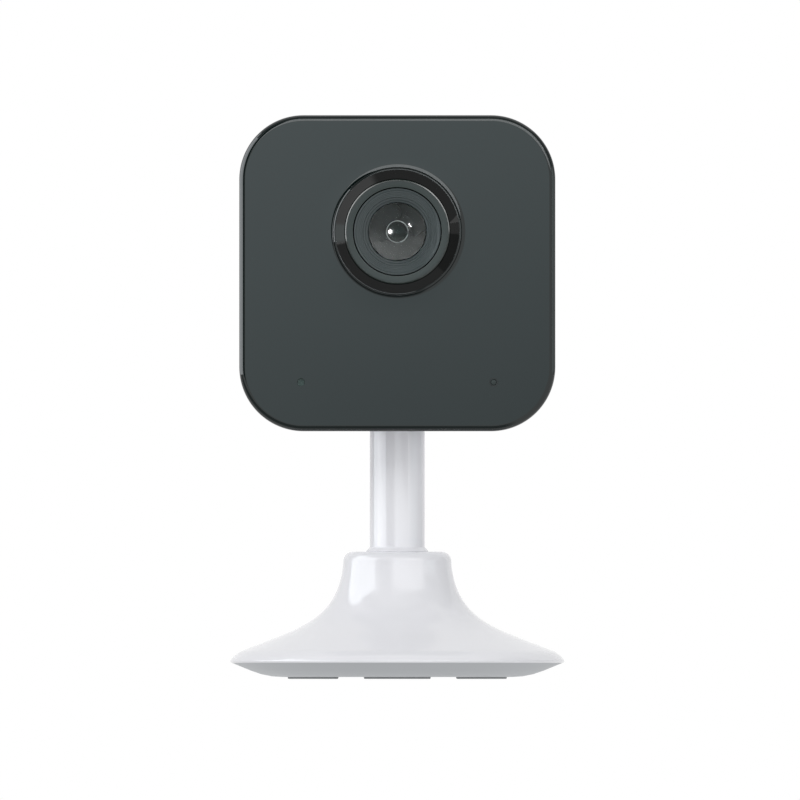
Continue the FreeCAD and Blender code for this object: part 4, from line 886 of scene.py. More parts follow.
# ---- The lens -------------------------------------------------------------------------------------
@dataclass(frozen=True)
class Lens:
    """The lens: trim ring, glossy bowl, barrel, stepped retainer, glasses and stop.

    Attributes:
        centre: (x, z) of its axis.
        face: depth of the face.
        mouth: radius of the opening that the trim ring and the bowl fill.
        trim: how far the trim ring's outer edge and its crest lie inside the mouth.
        trim_rise: how far its outer edge stands out from the face, and the crest from that edge.
        trim_back: how far it reaches behind the face.
        bowl: how far the bowl's edge lies inside the mouth, and how far it stands out from the face.
        throat: how far the bowl's throat lies outside the ring and behind the face.
        bead: gap between the throat's bead and the ring.
        bead_run: depths behind the face at which the bead starts, is full, is still full and ends.
        bowl_tail: radius of the bowl's end and its depth behind the face.
        sleeve: radius of the bowl's sleeve, depth of its end, and its start behind the face.
        flange: inner and outer radius of the bowl's flange, and depth of its front and back.
        ring: radius and front of the barrel's ring.
        ring_edge: width and depth of its raised edge's bevel, and how far the edge stands out.
        ring_run: depth of the ring and of the groove's inner wall behind its front.
        groove: inner and outer radius of the groove round the retainer.
        waist: radius and end of the barrel's waist.
        thread: crest radius, cut, pitch and start of the thread.
        thread_turns: number of its turns.
        bores: radii of the rear, middle and front bore.
        bore_step: depth of the step between the rear and the middle bore.
        tail: depth of the barrel's end.
        rim_steps: radius, depth behind the retainer's front and round of the points of its sunk rim.
        treads: number of treads, radius of the first, their pitch and width.
        tread_fall: depth of the first tread, the fall from one to the next and the fall on one.
        glass_steps: as rim_steps, for the deep step down to the glass.
        glass: radius of the front glass, and depth of its front and back edge.
        glass_curves: radius of the front glass's dome and of its hollow.
        glass_reach: radius at which the dome and the hollow end.
        glass_seat: inner and outer radius of its seat, and how far the hollow lies behind the front.
        cones: radius, depth and round of the baffle's two cone edges.
        stop: radius of the stop's hole, and depth of its bevel's start and end.
        stop_bevel: width of that bevel.
        baffle: radius and depth of the baffle's tail behind the glass, and its gap to the glass.
        bead_edge: how far the bare edge's middle lies outside the stop's hole, and its round.
        middle_glass: front, radius, rim, hollow and dome of the middle glass.
        rear_glass: the same of the rear glass.
        inner_rim: width of the flat rim of these two.
    """

    centre: tuple[float, float] = LENS_XZ
    face: float = FACE_Y
    mouth: float = 12.25
    trim: tuple[float, float] = (0.35, 0.7)
    trim_rise: tuple[float, float] = (0.09, 0.27)
    trim_back: float = 0.6
    bowl: tuple[float, float] = (0.77, 0.28)
    throat: tuple[float, float] = (0.1, 0.8)
    bead: float = 0.01
    bead_run: tuple[float, float, float, float] = (2.0, 2.05, 2.4, 2.45)
    bowl_tail: tuple[float, float] = (11.5, 3.9)
    sleeve: tuple[float, float, float] = (11.85, -15.2, 0.65)
    flange: tuple[float, float, float, float] = (12.1, 14.2, -15.0, -14.0)
    ring: tuple[float, float] = (9.73, -15.6)
    ring_edge: tuple[float, float, float] = (0.26, 0.127, 0.6)
    ring_run: tuple[float, float] = (2.2, 1.3)
    groove: tuple[float, float] = (8.05, 8.25)
    waist: tuple[float, float] = (7.4, -9.6)
    thread: tuple[float, float, float, float] = (5.95, 0.18, 0.5, -9.4)
    thread_turns: int = 10
    bores: tuple[float, float, float] = (3.65, 4.45, 5.75)
    bore_step: float = -10.45
    tail: float = -3.9
    rim_steps: Steps = ((7.7, 0.11, 0.03), (7.62, 0.2, 0.0))
    treads: tuple[int, float, float, float] = (4, 7.55, 0.29, 0.24)
    tread_fall: tuple[float, float, float] = (0.26, 0.13, 0.03)
    glass_steps: Steps = ((6.36, 1.0, 0.05), (5.95, 1.08, 0.04), (5.86, 1.3, 0.03), (5.5, 1.4, 0.04))
    glass: tuple[float, float, float] = (5.35, -13.8, -12.7)
    glass_curves: tuple[float, float] = (10.0, 11.0)
    glass_reach: tuple[float, float] = (5.3, 5.36)
    glass_seat: tuple[float, float, float] = (5.4, 5.7, 0.12)
    cones: Steps = ((5.32, -13.52, 0.03), (3.45, -13.08, 0.03))
    stop: tuple[float, float, float] = (1.95, -12.95, -12.9)
    stop_bevel: float = 0.06
    baffle: tuple[float, float, float] = (4.4, 0.825, 0.025)
    bead_edge: tuple[float, float] = (0.04, 0.07)
    middle_glass: tuple[float, ...] = (-11.85, 4.4, 1.4, 16.0, 9.0)
    rear_glass: tuple[float, ...] = (-6.1, 3.6, 1.2, 12.0, 11.0)
    inner_rim: float = 0.9

    def trim_ring(self) -> Surface:
        """The polished trim ring in the mouth, which carries the face's flare on to a crest.

        It steepens inwards as a quarter of a circle seen nearly flat.

        Returns:
            The closed ring.
        """
        outer, crest = self.mouth - self.trim[0], self.mouth - self.trim[1]
        low = self.face - self.trim_rise[0]
        rim = arc_between((outer, low), (crest, low - self.trim_rise[1]), 0.05, 14)
        behind = self.face + self.trim_back
        back = [(crest - 0.05, low - 0.25), (crest - 0.06, behind), (outer, behind)]
        return turned(np.vstack([rim, back]), Axis.Y, self.centre, FINE)

    def bezel(self) -> Surface:
        """The glossy bowl: its wall falls from the trim ring to the lens, and its slope grows evenly.

        Returns:
            The closed bowl.
        """
        start = self.mouth - self.bowl[0]
        throat, lip = self.ring[0] + self.throat[0], self.ring[0] + self.bead
        wall = arc_between((start, self.face - self.bowl[1]), (throat, self.face + self.throat[1]), 0.02, 22)
        bead = [(radius, self.face + run) for radius, run in zip((throat, lip, lip, throat), self.bead_run)]
        wide, tail = self.bowl_tail[0], self.face + self.bowl_tail[1]
        sleeve, sleeve_end, sleeve_start = self.sleeve
        inner, outer, front, back = self.flange
        rest = [(throat, tail), (wide, tail), (inner, back), (outer, back), (outer, front), (inner, front),
                (sleeve, sleeve_end), (sleeve, self.face + sleeve_start), (start, self.face + sleeve_start)]
        return turned(np.vstack([wall, bead, rest]), Axis.Y, self.centre, FINE)

    def barrel(self) -> Surface:
        """The barrel: wide front ring, waist and threaded tail, bored in steps for the glasses.

        Returns:
            The closed barrel.
        """
        radius, front = self.ring
        wide, deep, rise = self.ring_edge
        ring_back, groove_wall = front + self.ring_run[0], front + self.ring_run[1]
        inner, outer = self.groove
        _, glass_front, glass_back = self.glass
        waist, waist_end = self.waist
        crest, cut, pitch, first = self.thread
        thread = [(crest - cut * (i % 2), first + pitch / 2 * i) for i in range(2 * self.thread_turns)]
        rear, middle, wide_bore = self.bores
        section = eased([(radius, front - rise + deep, 0.02), (radius, ring_back, 0.15), (waist, ring_back),
                         (waist, waist_end, 0.2), (crest, waist_end), *thread, (crest, self.tail),
                         (rear, self.tail), (rear, self.bore_step), (middle, self.bore_step),
                         (middle, glass_back), (wide_bore, glass_back), (wide_bore, glass_front),
                         (inner, glass_front), (inner, groove_wall), (outer, front, 0.03),
                         (radius - wide - 0.03, front), (radius - wide, front - rise, 0.02)])
        return turned(section, Axis.Y, self.centre, FINE)

    def retainer(self) -> Surface:
        """The stepped ring round the front glass: a sunk rim, fine treads and a deep step down to the glass.

        Returns:
            The closed ring.
        """
        outer, front = self.groove[0] - 0.03, self.ring[1] + PLAY
        count, first, pitch, width = self.treads
        start, fall, slope = self.tread_fall
        steps: list[tuple[float, ...]] = []
        for i in range(count):
            radius, depth = first - pitch * i, front + start + fall * i
            steps += [(radius, depth, 0.03), (radius - width, depth + slope, 0.02)]
        rim = [(radius, front + depth, edge) for radius, depth, edge in self.rim_steps]
        down = [(radius, front + depth, edge) for radius, depth, edge in self.glass_steps]
        bore = self.glass[0] + 0.06
        section = eased([(outer, self.glass[1]), (outer, front, 0.04), *rim, *steps, *down,
                         (bore, self.glass[1] - 0.05), (bore, self.glass[1])])
        return turned(section, Axis.Y, self.centre, FINE)

    def front_glass(self) -> Surface:
        """The front glass: a dome in front, a hollow behind, and a thick seat.

        Returns:
            The closed glass.
        """
        _, front, back = self.glass
        seat, outer, sunk = self.glass_seat
        dome = self.cap(self.glass_curves[0], self.glass_reach[0], front, -1.0, 24)
        hollow = self.cap(self.glass_curves[1], self.glass_reach[1], front + sunk, -1.0, 24)[::-1]
        rim = [(outer, front), (outer, back), (seat, back)]
        return turned(np.vstack([dome, rim, hollow]), Axis.Y, self.centre, PLAIN)

    def iris(self) -> Surface:
        """The black baffle behind the front glass: two hollow cones that fall to the stop's hole.

        Returns:
            The closed baffle.
        """
        hole, bevel_start, bevel_end = self.stop
        tail, reach, gap = self.baffle
        back, seat = self.glass[2] + reach, self.glass[2] + gap
        section = eased([*self.cones, (hole + self.stop_bevel, bevel_start, 0.02), (hole, bevel_end, 0.02),
                         (hole, back), (tail, back), (tail, seat), (self.cones[0][0], seat)])
        return turned(section, Axis.Y, self.centre, FINE)

    def iris_edge(self) -> Surface:
        """The thin bare edge of the stop's hole: a round bead.

        Returns:
            The closed bead.
        """
        offset, size = self.bead_edge
        angle = np.linspace(0, TURN, 13)[:-1]
        section = np.column_stack([self.stop[0] + offset + size * np.cos(angle),
                                   self.stop[1] + size * np.sin(angle)])
        return turned(section, Axis.Y, self.centre, PLAIN)

    @staticmethod
    def cap(curve: float, reach: float, edge: float, side: float, count: int) -> Array:
        """A ball's cap from the axis out.

        The depth is edge + side x (sqrt(curve^2 - r^2) - sqrt(curve^2 - reach^2)).

        Args:
            curve: the ball's radius.
            reach: radius at which the cap ends.
            edge: depth of its end.
            side: 1 where it bulges backwards, -1 where it bulges forwards.
            count: number of points.

        Returns:
            (radius, depth) rows from the axis out.
        """
        radius = np.linspace(0, reach, count)
        rise = np.sqrt(curve**2 - radius**2) - math.sqrt(curve**2 - reach**2)
        return np.column_stack([radius, edge + side * rise])

    def inner_glass(self, front: float, radius: float, edge: float, hollow: float, dome: float) -> Surface:
        """A glass with a flat rim, hollow in front and domed behind.

        Args:
            front: depth of its rim's front.
            radius: its radius.
            edge: thickness of its rim.
            hollow: radius of the hollow's sphere.
            dome: radius of the dome's sphere.

        Returns:
            The closed glass.
        """
        clear = radius - self.inner_rim
        before = self.cap(hollow, clear, front, 1.0, 14)
        behind = self.cap(dome, clear, front + edge, 1.0, 14)[::-1]
        rim = [(radius, front), (radius, front + edge)]
        return turned(np.vstack([before, rim, behind]), Axis.Y, self.centre, PLAIN)

    def build(self, shop: Workshop) -> None:
        """Makes and dresses the lens's pieces.

        Args:
            shop: the workshop that fits them.
        """
        for name, surface, nodes, slot, finish in (
            ("lens_trim_ring", self.trim_ring(), ("lens_bezel",), "bezel_black", ""),
            ("lens_bowl", self.bezel(), ("lens_bezel",), "bezel_black", "bowl_black"),
            ("lens_barrel_ring", self.barrel(), ("lens_barrel",), "lens_black", ""),
            ("lens_stepped_retainer", self.retainer(), ("lens_retainer",), "lens_black", "retainer_satin"),
            ("lens_iris_baffle", self.iris(), ("lens_stop",), "lens_black", "baffle_gloss"),
            ("lens_front_glass", self.front_glass(), ("front_lens",), "lens_glass", ""),
            ("lens_middle_glass", self.inner_glass(*self.middle_glass), ("middle_lens",), "lens_glass",
             "inner_glass"),
            ("lens_rear_glass", self.inner_glass(*self.rear_glass), ("rear_lens",), "lens_glass",
             "inner_glass"),
            ("lens_iris_edge", self.iris_edge(), (), "lens_black", "iris_edge"),
        ):
            shop.fit(smoothed(mesh_object(name, surface)), Place(Body.HEAD, nodes, slot, finish))


# ---- The back -------------------------------------------------------------------------------------
@dataclass(frozen=True)
class Back:
    """The white rear shell with its lip, hinge pocket and openings, the reset button and the power socket.

    Attributes:
        outline: outer form of the shell.
        front: depth of the seam.
        back: depth of the back.
        back_round: round of the back edge.
        wall: side and back wall.
        lip: depth of the lip's tip and of its root.
        lip_wall: gap outside the lip, its wall, and the round of its tip.
        seam_round: round of the side wall's edge at the seam.
        pivot_z: height of the hinge.
        slot: half width, front depth, corner and top of the stem's slot.
        slot_back: depth at which the slot's room ends behind.
        pocket: half width, front depth and top of the walls round the slot.
        boss: radius and reach of the pin's bosses.
        pin_hole: radius and half length of the pin's hole.
        grille: pitch, hole radius and number of rings of the speaker grille.
        grille_z: height of the grille's middle.
        port: (x, z) of the reset button; the power socket lies opposite.
        reset_hole: radius of the reset button's hole.
        power_hole: half width and half height of the power socket's opening.
        card: (z, half height) of the card slot.
        card_run: depth at which the card slot starts and ends.
        card_wall: inner and outer face of the side wall that it goes through.
        rod: radius and front of the button's rod.
        flange: radius, front and back of its flange.
        cap: radius of its cap, how far it lies sunk in the back, and its round.
        dish: radius, depth and bulge of the cap's dish.
        tube: half width and half height of the power socket's shell.
        tube_run: depth of its end, of its floor and of its mouth.
        tube_edge: wall of the shell, and the rounds of its end and its mouth.
    """

    outline: Outline = Outline(29.1, 29.1, 11.7, HEAD_Z)
    front: float = -11.7
    back: float = 12.0
    back_round: float = 5.0
    wall: float = 1.8
    lip: tuple[float, float] = (-13.4, -10.1)
    lip_wall: tuple[float, float, float] = (0.1, 0.8, 0.1)
    seam_round: float = 0.12
    pivot_z: float = PIVOT_Z
    slot: tuple[float, float, float, float] = (5.6, -9.2, 3.0, 60.5)
    slot_back: float = 5.6
    pocket: tuple[float, float, float] = (7.2, -10.8, 62.1)
    boss: tuple[float, float] = (3.2, 9.2)
    pin_hole: tuple[float, float] = (1.52, 8.9)
    grille: tuple[float, float, int] = (2.3, 0.6, 3)
    grille_z: float = GRILLE_Z
    port: tuple[float, float] = (15.0, 58.0)
    reset_hole: float = 1.8
    power_hole: tuple[float, float] = (4.0, 1.6)
    card: tuple[float, float] = (67.7, 6.1)
    card_run: tuple[float, float] = (5.6, 7.5)
    card_wall: tuple[float, float] = (27.3, 29.1)
    rod: tuple[float, float] = (0.9, 8.25)
    flange: tuple[float, float, float] = (2.5, 9.45, 10.15)
    cap: tuple[float, float, float] = (1.7, 0.2, 0.3)
    dish: tuple[float, float, float] = (1.1, 0.1, 0.03)
    tube: tuple[float, float] = (3.8, 1.4)
    tube_run: tuple[float, float, float] = (5.8, 7.0, 11.9)
    tube_edge: tuple[float, float, float] = (0.35, 0.1, 0.12)

    def form(self) -> Surface:
        """The filled outer form, for trimming the pocket."""
        profile = eased([(0, self.front), (0, self.back, self.back_round),
                         (self.back_round + CLOSE, self.back)], closed=False)
        return grid_surface(self.outline.loops(profile), capped=True)

    def shell(self) -> Surface:
        """The shell with its lip: loops from the inner flat of the back, along wall and lip, to the back.

        Returns:
            The closed shell, without pocket and openings.
        """
        inner_round = self.back_round - self.wall
        tip, root = self.lip
        gap, thick, tip_round = self.lip_wall
        lip_out = self.wall - gap
        lip_in = lip_out + thick
        inside = self.back - self.wall
        profile = eased([
            (self.back_round + CLOSE, inside), (self.wall, inside, inner_round), (self.wall, root),
            (lip_in, root), (lip_in, tip, tip_round), (lip_out, tip, tip_round), (lip_out, self.front),
            (0, self.front, self.seam_round), (0, self.back, self.back_round),
            (self.back_round + CLOSE, self.back),
        ], closed=False, step=5.0)
        return grid_surface(self.outline.loops(profile), capped=True)

    def chamber(self) -> Surface:
        """The room for the knuckle: open below, with round corners in front.

        Returns:
            The closed tool.
        """
        half, front, corner, top = self.slot
        rear = self.slot_back
        flat = eased([(-half, rear), (-half, front, corner), (half, front, corner), (half, rear)], step=6.0)
        return prism(flat, Axis.Z, self.outline.z - self.outline.half_z - PAST, top)

    def archway(self) -> Surface:
        """The way out behind: straight sides up to the hinge and a half circle over it.

        Returns:
            The closed tool.
        """
        half, low = self.slot[0], self.outline.z - self.outline.half_z - PAST
        angle = np.linspace(0, math.pi, 49)
        over = np.column_stack([half * np.cos(angle), self.pivot_z + half * np.sin(angle)])
        flat = np.vstack([over, [(-half, low), (half, low)]])
        return prism(flat, Axis.Y, 0.0, self.back + PAST)

    def grille_holes(self) -> Surface:
        """The speaker holes: one in the middle and rings of six, twelve and eighteen round it.

        Returns:
            The closed tools in one surface.
        """
        pitch, hole, rings = self.grille
        places = [(0.0, self.grille_z)]
        for ring in range(1, rings + 1):
            angle = np.arange(6 * ring) * TURN / (6 * ring)
            places += list(zip(ring * pitch * np.cos(angle), self.grille_z + ring * pitch * np.sin(angle)))
        ends = (self.back - self.wall - PAST, self.back + PAST)
        whole = rod(hole, Axis.Y, *ends, places[0], 28)
        for place in places[1:]:
            whole = whole + rod(hole, Axis.Y, *ends, place, 28)
        return whole

    def stadium(self, half_x: float, half_z: float) -> Outline:
        """An outline with half-round ends at the power socket."""
        return Outline(half_x, half_z, half_z - 1e-4, self.port[1], -self.port[0], 16, 6)

    def pocket_block(self) -> Surface:
        """The walls round the slot with the pin's bosses, trimmed to the outer form.

        Returns:
            The closed block.
        """
        half, front, top = self.pocket
        low = self.outline.z - self.outline.half_z
        block = mesh_object("pocket", slab((-half, front, low - PAST), (half, self.back + PAST, top)))
        block = carved(block, self.form(), Carve.KEEP)
        radius, reach = self.boss
        block = carved(block, rod(radius, Axis.X, -reach, reach, (0.0, self.pivot_z)), Carve.JOIN)
        pocket = Surface(np.array([v.co for v in block.data.vertices]) / MM,
                         [list(face.vertices) for face in block.data.polygons])
        bpy.data.objects.remove(block)
        return pocket

    def housing(self) -> Object:
        """The whole rear shell, joined and carved.

        Returns:
            Its mesh object.
        """
        made = mesh_object("rear_housing", self.shell())
        made = carved(made, self.pocket_block(), Carve.JOIN)
        pin, reach = self.pin_hole
        inside, outside = self.back - self.wall - PAST, self.back + PAST
        opening = self.stadium(*self.power_hole).loops(np.array([(0, inside), (0, outside)]))
        (inner, outer), (start, end), (middle, half) = self.card_wall, self.card_run, self.card
        for tool in (
            self.chamber(),
            self.archway(),
            rod(pin, Axis.X, -reach, reach, (0.0, self.pivot_z), 48),
            self.grille_holes(),
            rod(self.reset_hole, Axis.Y, inside, outside, self.port),
            grid_surface(opening, capped=True),
            slab((inner - PAST, start, middle - half), (outer + PAST, end, middle + half)),
        ):
            made = carved(made, tool, Carve.CUT)
        return made

    def button(self) -> Surface:
        """The reset button: dished cap, flange and rod.

        Returns:
            The closed button.
        """
        thin, front = self.rod
        wide, flange_front, flange_back = self.flange
        radius, sunk, edge = self.cap
        hollow, deep, bulge = self.dish
        cap_back = self.back - sunk
        dish = arc_between((hollow, cap_back), (0, cap_back - deep), -bulge, 6)
        section = eased([(0, front), (thin, front), (thin, flange_front), (wide, flange_front),
                         (wide, flange_back), (radius, flange_back), (radius, cap_back, edge),
                         (hollow, cap_back)], closed=False)
        return turned(np.vstack([section, dish[1:]]), Axis.Y, self.port, 64)

    def socket(self) -> Surface:
        """The power socket's metal shell: a flat tube with a rolled edge and a floor.

        Returns:
            The closed shell.
        """
        end, floor, mouth = self.tube_run
        thick, end_round, mouth_round = self.tube_edge
        profile = eased([(thick + CLOSE, end), (0, end, end_round), (0, mouth, mouth_round),
                         (thick, mouth, mouth_round), (thick, floor), (thick + CLOSE, floor)], closed=False)
        return grid_surface(self.stadium(*self.tube).loops(profile), capped=True)

    def build(self, shop: Workshop) -> None:
        """Makes and dresses the back's pieces.

        Args:
            shop: the workshop that fits them.
        """
        shop.fit(smoothed(self.housing()), Place(Body.HEAD, ("rear_shell",), "shell_white"))
        button = smoothed(mesh_object("reset_push_button", self.button()))
        shop.fit(button, Place(Body.BUTTON, ("reset_button",), "shell_white"))
        socket = smoothed(mesh_object("power_socket_shell", self.socket()))
        shop.fit(socket, Place(Body.HEAD, ("usb_socket",), "steel_bright"))


# ---- Finishes -------------------------------------------------------------------------------------
class Bench:
    """Short calls for building one node tree.

    Attributes:
        tree: the tree that is built.
    """

    def __init__(self, tree: bpy.types.NodeTree) -> None:
        """Works on a tree."""
        self.tree = tree

    def add(self, kind: str, settings: dict[str, Any] | None = None, **inputs: Any) -> bpy.types.Node:
        """Adds a node.

        Args:
            kind: the node's type.
            settings: its properties.
            **inputs: value or socket of each input; an underscore stands for a space.

        Returns:
            The node.
        """
        node = self.tree.nodes.new(kind)
        for name, value in (settings or {}).items():
            setattr(node, name, value)
        for name, value in inputs.items():
            self.feed(node.inputs[name.replace("_", " ")], value)
        return node

    def feed(self, socket: Socket, value: Any) -> None:
        """Joins a socket to another one, or sets its value."""
        if isinstance(value, bpy.types.NodeSocket):
            self.tree.links.new(value, socket)
        else:
            socket.default_value = value

    def math(self, work: str, first: Any, second: Any = 0.0, third: Any = 0.0) -> Socket:
        """A math node on up to three values or sockets."""
        node = self.add("ShaderNodeMath", {"operation": work})
        for socket, value in zip(node.inputs, (first, second, third)):
            self.feed(socket, value)
        return node.outputs[0]

    def mixed(self, share: Any, first: Any, second: Any) -> Socket:
        """A colour between two colours or colour sockets."""
        node = self.add("ShaderNodeMix", {"data_type": "RGBA"})
        for index, value in ((0, share), (6, first), (7, second)):
            self.feed(node.inputs[index], value)
        return node.outputs[2]

    def spread(self, value: Any, low: float, high: float, start: float = 0.0, end: float = 1.0) -> Socket:
        """A value moved from the range start to end into the range low to high, and held inside it."""
        node = self.add("ShaderNodeMapRange", Value=value, From_Min=start, From_Max=end,
                        To_Min=low, To_Max=high)
        return node.outputs["Result"]

    def noise(self, vector: Socket, scale: Any, detail: float = 3.0, roughness: float = 0.5) -> Socket:
        """A noise between 0 and 1."""
        node = self.add("ShaderNodeTexNoise", Vector=vector, Scale=scale, Detail=detail, Roughness=roughness)
        return node.outputs["Fac"]

    def stretched(self, vector: Socket, scale: Sequence[float]) -> Socket:
        """A vector scaled along each axis."""
        return self.add("ShaderNodeMapping", Vector=vector, Scale=scale).outputs[0]


def bench_for(owner: Any) -> Bench:
    """A bench on the emptied node tree of a material, a world or a lamp."""
    owner.use_nodes = True
    owner.node_tree.nodes.clear()
    return Bench(owner.node_tree)


class Effect(Enum):
    """The patterns that materials share; each is one node group with the same sockets."""

    MOULDED = "moulded_skin"
    BRUSHED = "brushed_metal"
    BOARD = "circuit_tracks"
    WOUND = "wound_wire"
    # its mask paints a highlight on each turn of wire and shade between turns
    RIBBON = "ribbon_tracks"
    RINGED = "pressed_rings"
    STIPPLED = "stippled_rubber"
    TURNED = "turned_marks"


class EffectLibrary:
    """Builds each shared pattern once, with the inputs Vector and Scale and the outputs Mask and Height."""

    def __init__(self) -> None:
        """Starts with no group made."""
        self.groups: dict[Effect, bpy.types.NodeTree] = {}

    def group(self, effect: Effect) -> bpy.types.NodeTree:
        """The node group of an effect, made on first use."""
        if effect not in self.groups:
            tree = bpy.data.node_groups.new(effect.value, "ShaderNodeTree")
            tree.interface.new_socket("Vector", in_out="INPUT", socket_type="NodeSocketVector")
            tree.interface.new_socket("Scale", in_out="INPUT", socket_type="NodeSocketFloat")
            tree.interface.new_socket("Mask", in_out="OUTPUT", socket_type="NodeSocketFloat")
            tree.interface.new_socket("Height", in_out="OUTPUT", socket_type="NodeSocketFloat")
            bench = Bench(tree)
            source = bench.add("NodeGroupInput")
            makers: dict[Effect, Callable[..., tuple[Socket, Socket]]] = {
                Effect.MOULDED: self.moulded, Effect.BRUSHED: self.brushed, Effect.BOARD: self.board,
                Effect.WOUND: self.wound, Effect.RIBBON: self.ribbon, Effect.RINGED: self.ringed,
                Effect.STIPPLED: self.stippled, Effect.TURNED: self.turned_marks,
            }
            mask, height = makers[effect](bench, source.outputs["Vector"], source.outputs["Scale"])
            bench.add("NodeGroupOutput", Mask=mask, Height=height)
            self.groups[effect] = tree
        return self.groups[effect]

    def moulded(self, bench: Bench, vector: Socket, scale: Socket) -> tuple[Socket, Socket]:
        """Moulded plastic: a slow flow of tone, and a fine skin on a faint waviness."""
        flow = bench.noise(vector, bench.math("MULTIPLY", scale, 0.03), 2.0)
        skin = bench.noise(vector, scale, 4.0, 0.6)
        wave = bench.noise(vector, bench.math("MULTIPLY", scale, 0.12), 1.0)
        height = bench.math("MULTIPLY_ADD", skin, 0.35, wave)
        return bench.spread(flow, 0.0, 1.0, 0.3, 0.7), height

    def brushed(self, bench: Bench, vector: Socket, scale: Socket) -> tuple[Socket, Socket]:
        """Brushed metal: noise drawn out along one direction, with a few spots."""
        lines = bench.noise(bench.stretched(vector, (0.06, 1.0, 1.0)), scale, 4.0, 0.7)
        spots = bench.noise(vector, bench.math("MULTIPLY", scale, 0.1), 2.0)
        return bench.math("MULTIPLY_ADD", spots, 0.4, bench.math("MULTIPLY", lines, 0.6)), lines

    def board(self, bench: Bench, vector: Socket, scale: Socket) -> tuple[Socket, Socket]:
        """Circuit board: tracks under the lacquer, as the edges of square cells, and round pads."""
        cells = bench.add("ShaderNodeTexVoronoi", {"feature": "DISTANCE_TO_EDGE", "voronoi_dimensions": "3D"},
                          Vector=vector, Scale=scale)
        pads = bench.add("ShaderNodeTexVoronoi", {"feature": "F1", "distance": "EUCLIDEAN"}, Vector=vector,
                         Scale=bench.math("MULTIPLY", scale, 1.4), Randomness=0.35)
        track = bench.spread(cells.outputs["Distance"], 1.0, 0.0, 0.04, 0.07)
        pad = bench.spread(pads.outputs["Distance"], 1.0, 0.0, 0.16, 0.2)
        mask = bench.math("MAXIMUM", track, pad)
        return mask, mask

    def wound(self, bench: Bench, vector: Socket, scale: Socket) -> tuple[Socket, Socket]:
        """Wound wire: even bands along the coil's axis, as relief and as a mask whose swing paints a
        highlight on each turn and shade between turns.
        """
        wave = bench.add("ShaderNodeTexWave", {"bands_direction": "Y", "wave_profile": "SIN"}, Vector=vector,
                         Scale=scale, Distortion=0.4, Detail=1.0)
        # the mask that colours the wire is a painted highlight on each turn's middle and painted shade
        # between turns; the height is real relief
        return wave.outputs["Fac"], wave.outputs["Fac"]

    def ribbon(self, bench: Bench, vector: Socket, scale: Socket) -> tuple[Socket, Socket]:
        """Flat cable: straight tracks side by side."""
        wave = bench.add("ShaderNodeTexWave", {"bands_direction": "X", "wave_profile": "SIN"}, Vector=vector,
                         Scale=scale)
        track = bench.spread(wave.outputs["Fac"], 0.0, 1.0, 0.45, 0.6)
        return track, track

    def ringed(self, bench: Bench, vector: Socket, scale: Socket) -> tuple[Socket, Socket]:
        """Pressed paper: rings round the Y axis under a fibre noise."""
        wave = bench.add("ShaderNodeTexWave", {"wave_type": "RINGS", "rings_direction": "Y"}, Vector=vector,
                         Scale=scale)
        fibre = bench.noise(vector, bench.math("MULTIPLY", scale, 6.0), 5.0, 0.7)
        return fibre, bench.math("MULTIPLY_ADD", fibre, 0.3, wave.outputs["Fac"])

    def stippled(self, bench: Bench, vector: Socket, scale: Socket) -> tuple[Socket, Socket]:
        """Rubber: a fine stipple of round grains, with dust in slow random patches."""
        grains = bench.add("ShaderNodeTexVoronoi", {"feature": "SMOOTH_F1"}, Vector=vector, Scale=scale)
        dust = bench.noise(vector, bench.math("MULTIPLY", scale, 0.15), 4.0, 0.65)
        return bench.spread(dust, 0.0, 1.0, 0.35, 0.75), grains.outputs["Distance"]

    def turned_marks(self, bench: Bench, vector: Socket, scale: Socket) -> tuple[Socket, Socket]:
        """Turned metal or its moulded copy: fine rings round the Y axis, broken by a slow noise."""
        wave = bench.add("ShaderNodeTexWave", {"wave_type": "RINGS", "rings_direction": "Y"}, Vector=vector,
                         Scale=scale, Distortion=0.6, Detail=2.0, Detail_Scale=0.4)
        slow = bench.noise(vector, bench.math("MULTIPLY", scale, 0.1), 2.0)
        return bench.spread(slow, 0.0, 1.0, 0.3, 0.7), wave.outputs["Fac"]


Colour = tuple[float, float, float]


